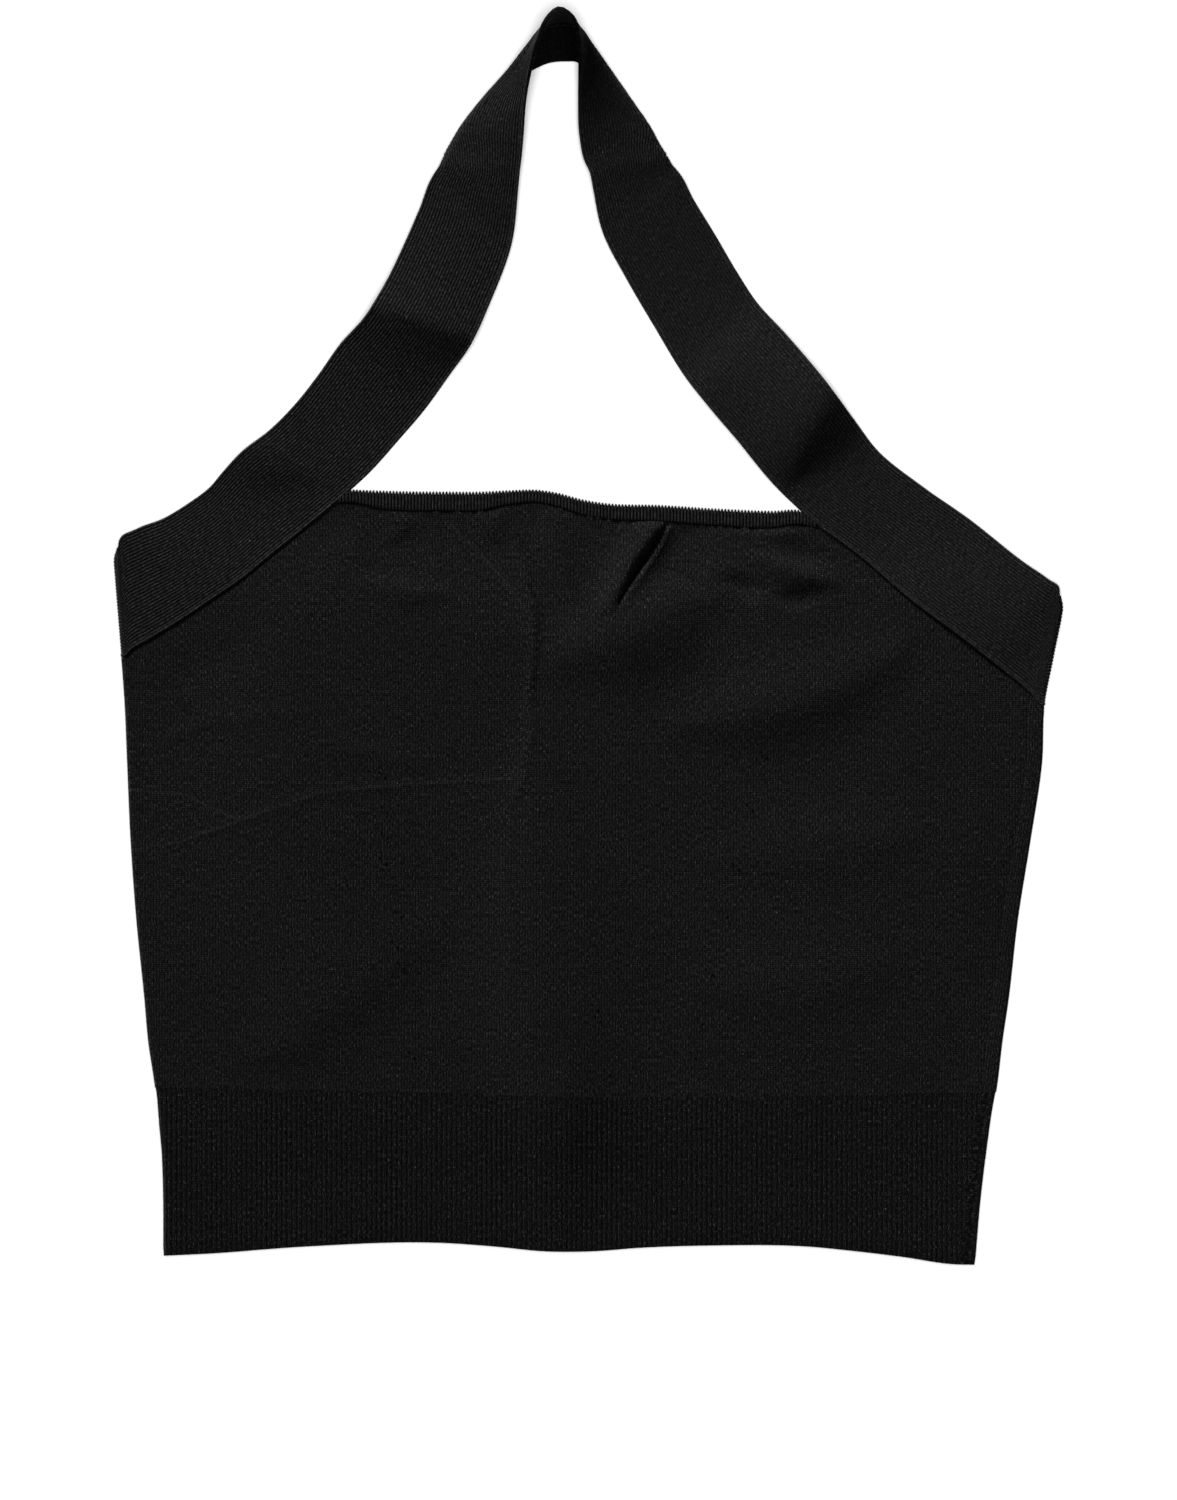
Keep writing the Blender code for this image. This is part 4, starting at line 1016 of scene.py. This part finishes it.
def hem_front(material):
    top = rib_columns("top")
    turn = UNDER_COLUMNS + fold_columns("left")[:-1]
    turned = np.concatenate([np.linspace(-TURNED_RIBS, 0.0, len(turn), endpoint=False), np.zeros(len(top))])
    return hem_wall("hem_rib_front_knit", "hem_rib_front", turn + top, turned, STRAIGHT, material)


def hem_back(material):
    flat = rib_columns("flat")
    turn = fold_columns("right")[1:] + [("over", FOLD_COLUMN), ("over", SEAM_INSET)]
    turned = np.concatenate([np.zeros(len(flat)), np.linspace(0.0, TURNED_RIBS, len(turn) + 1)[1:]])
    return hem_wall("hem_rib_back_knit", "hem_rib_back", flat + turn, turned, TURNED, material)


# ---- trim and seam lines

def under_seam():
    """Lower edge of the band on the underside, from fold to fold."""
    radius = (FRONT_LIFT + BAND_THICKNESS) / 2
    left, right = BACK_BAND[0].bottom, BACK_BAND[-1].bottom
    west, east = float(left_x(left)), float(right_x(right))
    x = np.linspace(west + SEAM_INSET, east - SEAM_INSET, UNDER_SEAM_POINTS)
    y = np.concatenate([[left], back_band_bottom(x), [right]])
    return np.column_stack([np.concatenate([[west + radius], x, [east - radius]]), y])


def rounded(share, power):
    return np.sign(share) * np.abs(share) ** power


def trim_rings(strap):
    """Upright rings of the neckline trim, whose ends run in under the strap's arms."""
    inner = strap[:, 0]
    top_of_neck = int(np.argmax(inner[:, 1]))
    arm_left, arm_right = inner[:top_of_neck], inner[top_of_neck:][::-1]
    length = TRIM[-1].x - TRIM[0].x
    ribs = int(round(length / TRIM_RIB_PITCH))
    turn = np.linspace(0.0, 2.0 * np.pi, TRIM_RING, endpoint=False)
    reach = rounded(np.cos(turn), TRIM_HEIGHT_ROUNDING)
    thick = rounded(np.sin(turn), TRIM_DEPTH_ROUNDING)
    rings = []
    for share in np.linspace(0.0, 1.0, ribs * POINTS_PER_TRIM_RIB + 1):
        x = TRIM[0].x + share * length
        edge = arm_left if share < 0.5 else arm_right
        order = np.argsort(edge[:, 0])
        strap_edge = float(np.interp(x, edge[order, 0], edge[order, 1])) + TUCK
        low, high = float(trim_bottom(x)), float(trim_top(x))
        full = 1.0 - TRIM_GROOVE * (1.0 - rib_wave(share * ribs))
        serrated = np.where(reach > 0.0, 1.0 - (1.0 - full) * TRIM_SERRATION, 1.0)
        y = np.minimum((low + high) / 2 + (high - low) / 2 * reach * serrated, max(strap_edge, low + TUCK))
        z = TRIM_THICKNESS / 2 * (1.0 + thick * full) + lift(np.full_like(y, x), y)
        rings.append(np.column_stack([np.full_like(y, x), y, z]))
    return np.array(rings)


def neckline_trim(material, rings):
    count = len(rings)
    rib = np.arange(count) / POINTS_PER_TRIM_RIB
    round_it = np.linspace(0.0, TRIM_ROUND, TRIM_RING, endpoint=False)
    uv = np.stack(np.broadcast_arrays(rib[:, None] * WALE, round_it[None, :]), axis=-1)
    faces = list(quads(count, TRIM_RING, closed=True))
    faces += [range(TRIM_RING)[::-1], range((count - 1) * TRIM_RING, count * TRIM_RING)]
    piece = new_piece(
        "neckline_trim_knit", rings.reshape(-1, 3), faces, material, uv.reshape(-1, 2),
    )
    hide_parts("neckline_trim")
    return piece


def front_top_line(strap, rings):
    """Upper edge of the front panel: along the strap's inner edge, then below the trim."""
    lower = rings[:, TRIM_RING // 2, :2]
    lower = lower[(lower[:, 0] > TRIM[0].x + TRIM_END) & (lower[:, 0] < TRIM[-1].x - TRIM_END)]
    inner = strap[FOLD_STEPS + 1:-(FOLD_STEPS + 1), 0, :2]
    inner = inner[inner[:, 1] < BAND_JOIN_TOP]
    return np.vstack([inner[inner[:, 0] < lower[0, 0]], lower, inner[inner[:, 0] > lower[-1, 0]]])


# ---- stitches and knots

def beads(name, spots, directions, size, material):
    """Small rounded stitches at given spots, each lying along its direction."""
    length, width = size
    template = bmesh.new()
    bmesh.ops.create_uvsphere(template, u_segments=BEAD_SEGMENTS, v_segments=BEAD_RINGS, radius=0.5)
    ball = np.array([vertex.co[:] for vertex in template.verts])
    # Sorted, because bmesh gives the faces in another order each run
    ball_faces = sorted([vertex.index for vertex in face.verts] for face in template.faces)
    template.free()
    points, faces = [], []
    for spot, direction in zip(spots, directions):
        along = np.array(direction) / np.linalg.norm(direction)
        across = np.cross((0.0, 0.0, 1.0), along)
        across /= np.linalg.norm(across)
        up = np.cross(along, across)
        start = len(points) * len(ball)
        shape = np.outer(ball[:, 2] * length, along) + np.outer(ball[:, 0] * width, across)
        points.append(spot + shape + np.outer(ball[:, 1] * width, up))
        faces += [tuple(start + index for index in face) for face in ball_faces]
    return new_piece(name, np.concatenate(points), faces, material)


def linking_stitches(material, front_grid, top_line):
    """The stitches that link the front panel to the strap, just below its two arms, a dotted line of
    painted shade where the seam's groove is shadowed.
    """
    edge = front_grid[-1, FRONT_TURN:]
    spots, ways = [], []
    for part in (edge[edge[:, 0] < top_line[0, 0] + LINK_RUN], edge[edge[:, 0] > LINK_START]):
        run = distances(part)
        places = np.arange(LINK_PITCH / 2, run[-1], LINK_PITCH)
        spots.append(read_line(part, run, places) + LINK_OFFSET)
        ways.append(read_line(part, run, places + WAY_STEP) - read_line(part, run, places - WAY_STEP))
    return beads(
        "linking_stitches", np.concatenate(spots), np.concatenate(ways), LINK_SIZE, material,
    )


def fashioning_knots(material, front_grid):
    heights = front_grid.reshape(-1, 3)
    knots, slants = [], []
    for mark in FASHION_MARKS:
        for step in KNOT_STEPS:
            x, y = mark.x + step.side * KNOT_APART, mark.y - step.down
            nearest = heights[np.argmin(np.hypot(heights[:, 0] - x, heights[:, 1] - y))]
            knots.append((x, y, nearest[2]))
            slants.append((KNOT_SLANT * step.side, 1.0, 0.0))
    return beads("fashioning_knots", knots, slants, KNOT_SIZE, material)


def main():
    jersey = knit_material("knit_jersey", shade=0.0114, groove=0.2, sheen_lines=PRESS_LINES)
    hem_rib = knit_material(
        "knit_hem_rib", shade=0.0052, groove=0.54, wale=2 * WALE, course=1.3 * COURSE, heather=1.4,
    )
    band_rib = knit_material(
        "knit_band_rib", shade=0.0198, groove=0.24, fullness=1.2, heather=0.7, roughness=0.84,
        edges=(SELVEDGE_INSET, BAND_RIBS * WALE - SELVEDGE_INSET),
    )
    trim_rib = knit_material("knit_trim_rib", shade=0.0205, groove=0.05, heather=0.5)
    # Near black, as painted shade for the shadowed seam groove and the pits beside the fashioning knots.
    shade_thread = shade_thread_material("painted_shade_stitch", shade=0.002)

    strap, strap_grid = halter_strap(band_rib)
    rings = trim_rings(strap_grid)
    trim = neckline_trim(trim_rib, rings)
    top_line = front_top_line(strap_grid, rings)
    seam = under_seam()
    front, front_grid = front_panel(jersey, seam, top_line)
    back = back_panel(jersey, seam, top_line)
    hem_f = hem_front(hem_rib)
    hem_b = hem_back(hem_rib)
    band = back_band(band_rib, seam)
    linking = linking_stitches(shade_thread, front_grid, top_line)
    marks = fashioning_knots(shade_thread, front_grid)


# ---- studio

PHOTO_HEIGHT = 1500  # pixels
MM_PER_PIXEL = 0.43
CAMERA_X, CAMERA_Y = 0.4, -49.0  # the middle of the picture on the floor
CAMERA_HEIGHT = 9000.0
CAMERA_REACH = 100.0  # metres
SENSOR = 36.0  # along the picture's longer side
KEY_AZIMUTH = 32.0  # from +Y towards -X
KEY_ELEVATION = 21.0
KEY_ANGLE = 0.575  # how wide the soft key looks from the garment, in radians
KEY_POWER = 3.0
SIDE_DISTANCE = 6000.0  # a narrower lamp beside the key, aimed past the garment's right side
SIDE_AIM = (300.0, -100.0, 0.0)
SIDE_CONE = 13.0  # degrees
SIDE_RADIUS = 600.0
SIDE_POWER = 900.0
FLOOR_POWER = 3.3
FLOOR_ANGLE = 0.5
FLOOR_HALF = 8000.0
FLOOR_DROP = 0.2  # the floor lies this far below the cloth
WORLD_STRENGTH = 0.13


def collection_of(name, members):
    made = bpy.data.collections.new(name)
    for member in members:
        made.objects.link(member)
    return made


def light(name, kind, power, lit, location=(0.0, 0.0, 0.0), turn=(0.0, 0.0, 0.0), **settings):
    """A lamp that lights the objects of one collection."""
    lamp = bpy.data.lights.new(name, kind)
    lamp.energy = power
    for key, value in settings.items():
        setattr(lamp, key, value)
    made = add_object(name, lamp)
    made.location = location
    made.rotation_euler = turn
    made.light_linking.receiver_collection = lit


def studio():
    """Pale floor, camera straight above, and soft light from the upper left of the picture."""
    mesh = bpy.data.meshes.new("floor")
    half = FLOOR_HALF * MM
    corners = [(-half, -half, 0), (half, -half, 0), (half, half, 0), (-half, half, 0)]
    mesh.from_pydata(corners, [], [(0, 1, 2, 3)])
    mesh.materials.append(floor_material())
    floor = add_object("floor", mesh)
    floor.location.z = -FLOOR_DROP * MM
    floor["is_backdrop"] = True

    cloth = collection_of("lit_cloth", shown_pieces())
    azimuth, elevation = np.radians(KEY_AZIMUTH), np.radians(KEY_ELEVATION)
    level = np.cos(elevation)
    way = np.array([-np.sin(azimuth) * level, np.cos(azimuth) * level, np.sin(elevation)])
    turn = (elevation - np.pi / 2, 0.0, azimuth)
    light("key", "SUN", KEY_POWER, cloth, way * SIDE_DISTANCE * MM, turn, angle=KEY_ANGLE)
    light(
        "side", "SPOT", SIDE_POWER, cloth, (np.array(SIDE_AIM) + way * SIDE_DISTANCE) * MM, turn,
        shadow_soft_size=SIDE_RADIUS * MM, spot_size=np.radians(SIDE_CONE), spot_blend=1.0,
    )
    light("floor_light", "SUN", FLOOR_POWER, collection_of("lit_floor", [floor]), angle=FLOOR_ANGLE)

    world = bpy.data.worlds.new("studio")
    world.use_nodes = True
    background = world.node_tree.nodes["Background"].inputs
    background["Color"].default_value = (1.0, 1.0, 1.0, 1.0)
    background["Strength"].default_value = WORLD_STRENGTH
    bpy.context.scene.world = world

    camera = bpy.data.cameras.new("camera")
    camera.sensor_width = SENSOR
    camera.lens = SENSOR * CAMERA_HEIGHT / (PHOTO_HEIGHT * MM_PER_PIXEL)
    camera.clip_end = CAMERA_REACH
    camera_object = add_object("camera", camera)
    camera_object.location = (CAMERA_X * MM, CAMERA_Y * MM, CAMERA_HEIGHT * MM)
    bpy.context.scene.camera = camera_object
    bpy.context.scene.view_settings.view_transform = "Standard"


main()
studio()
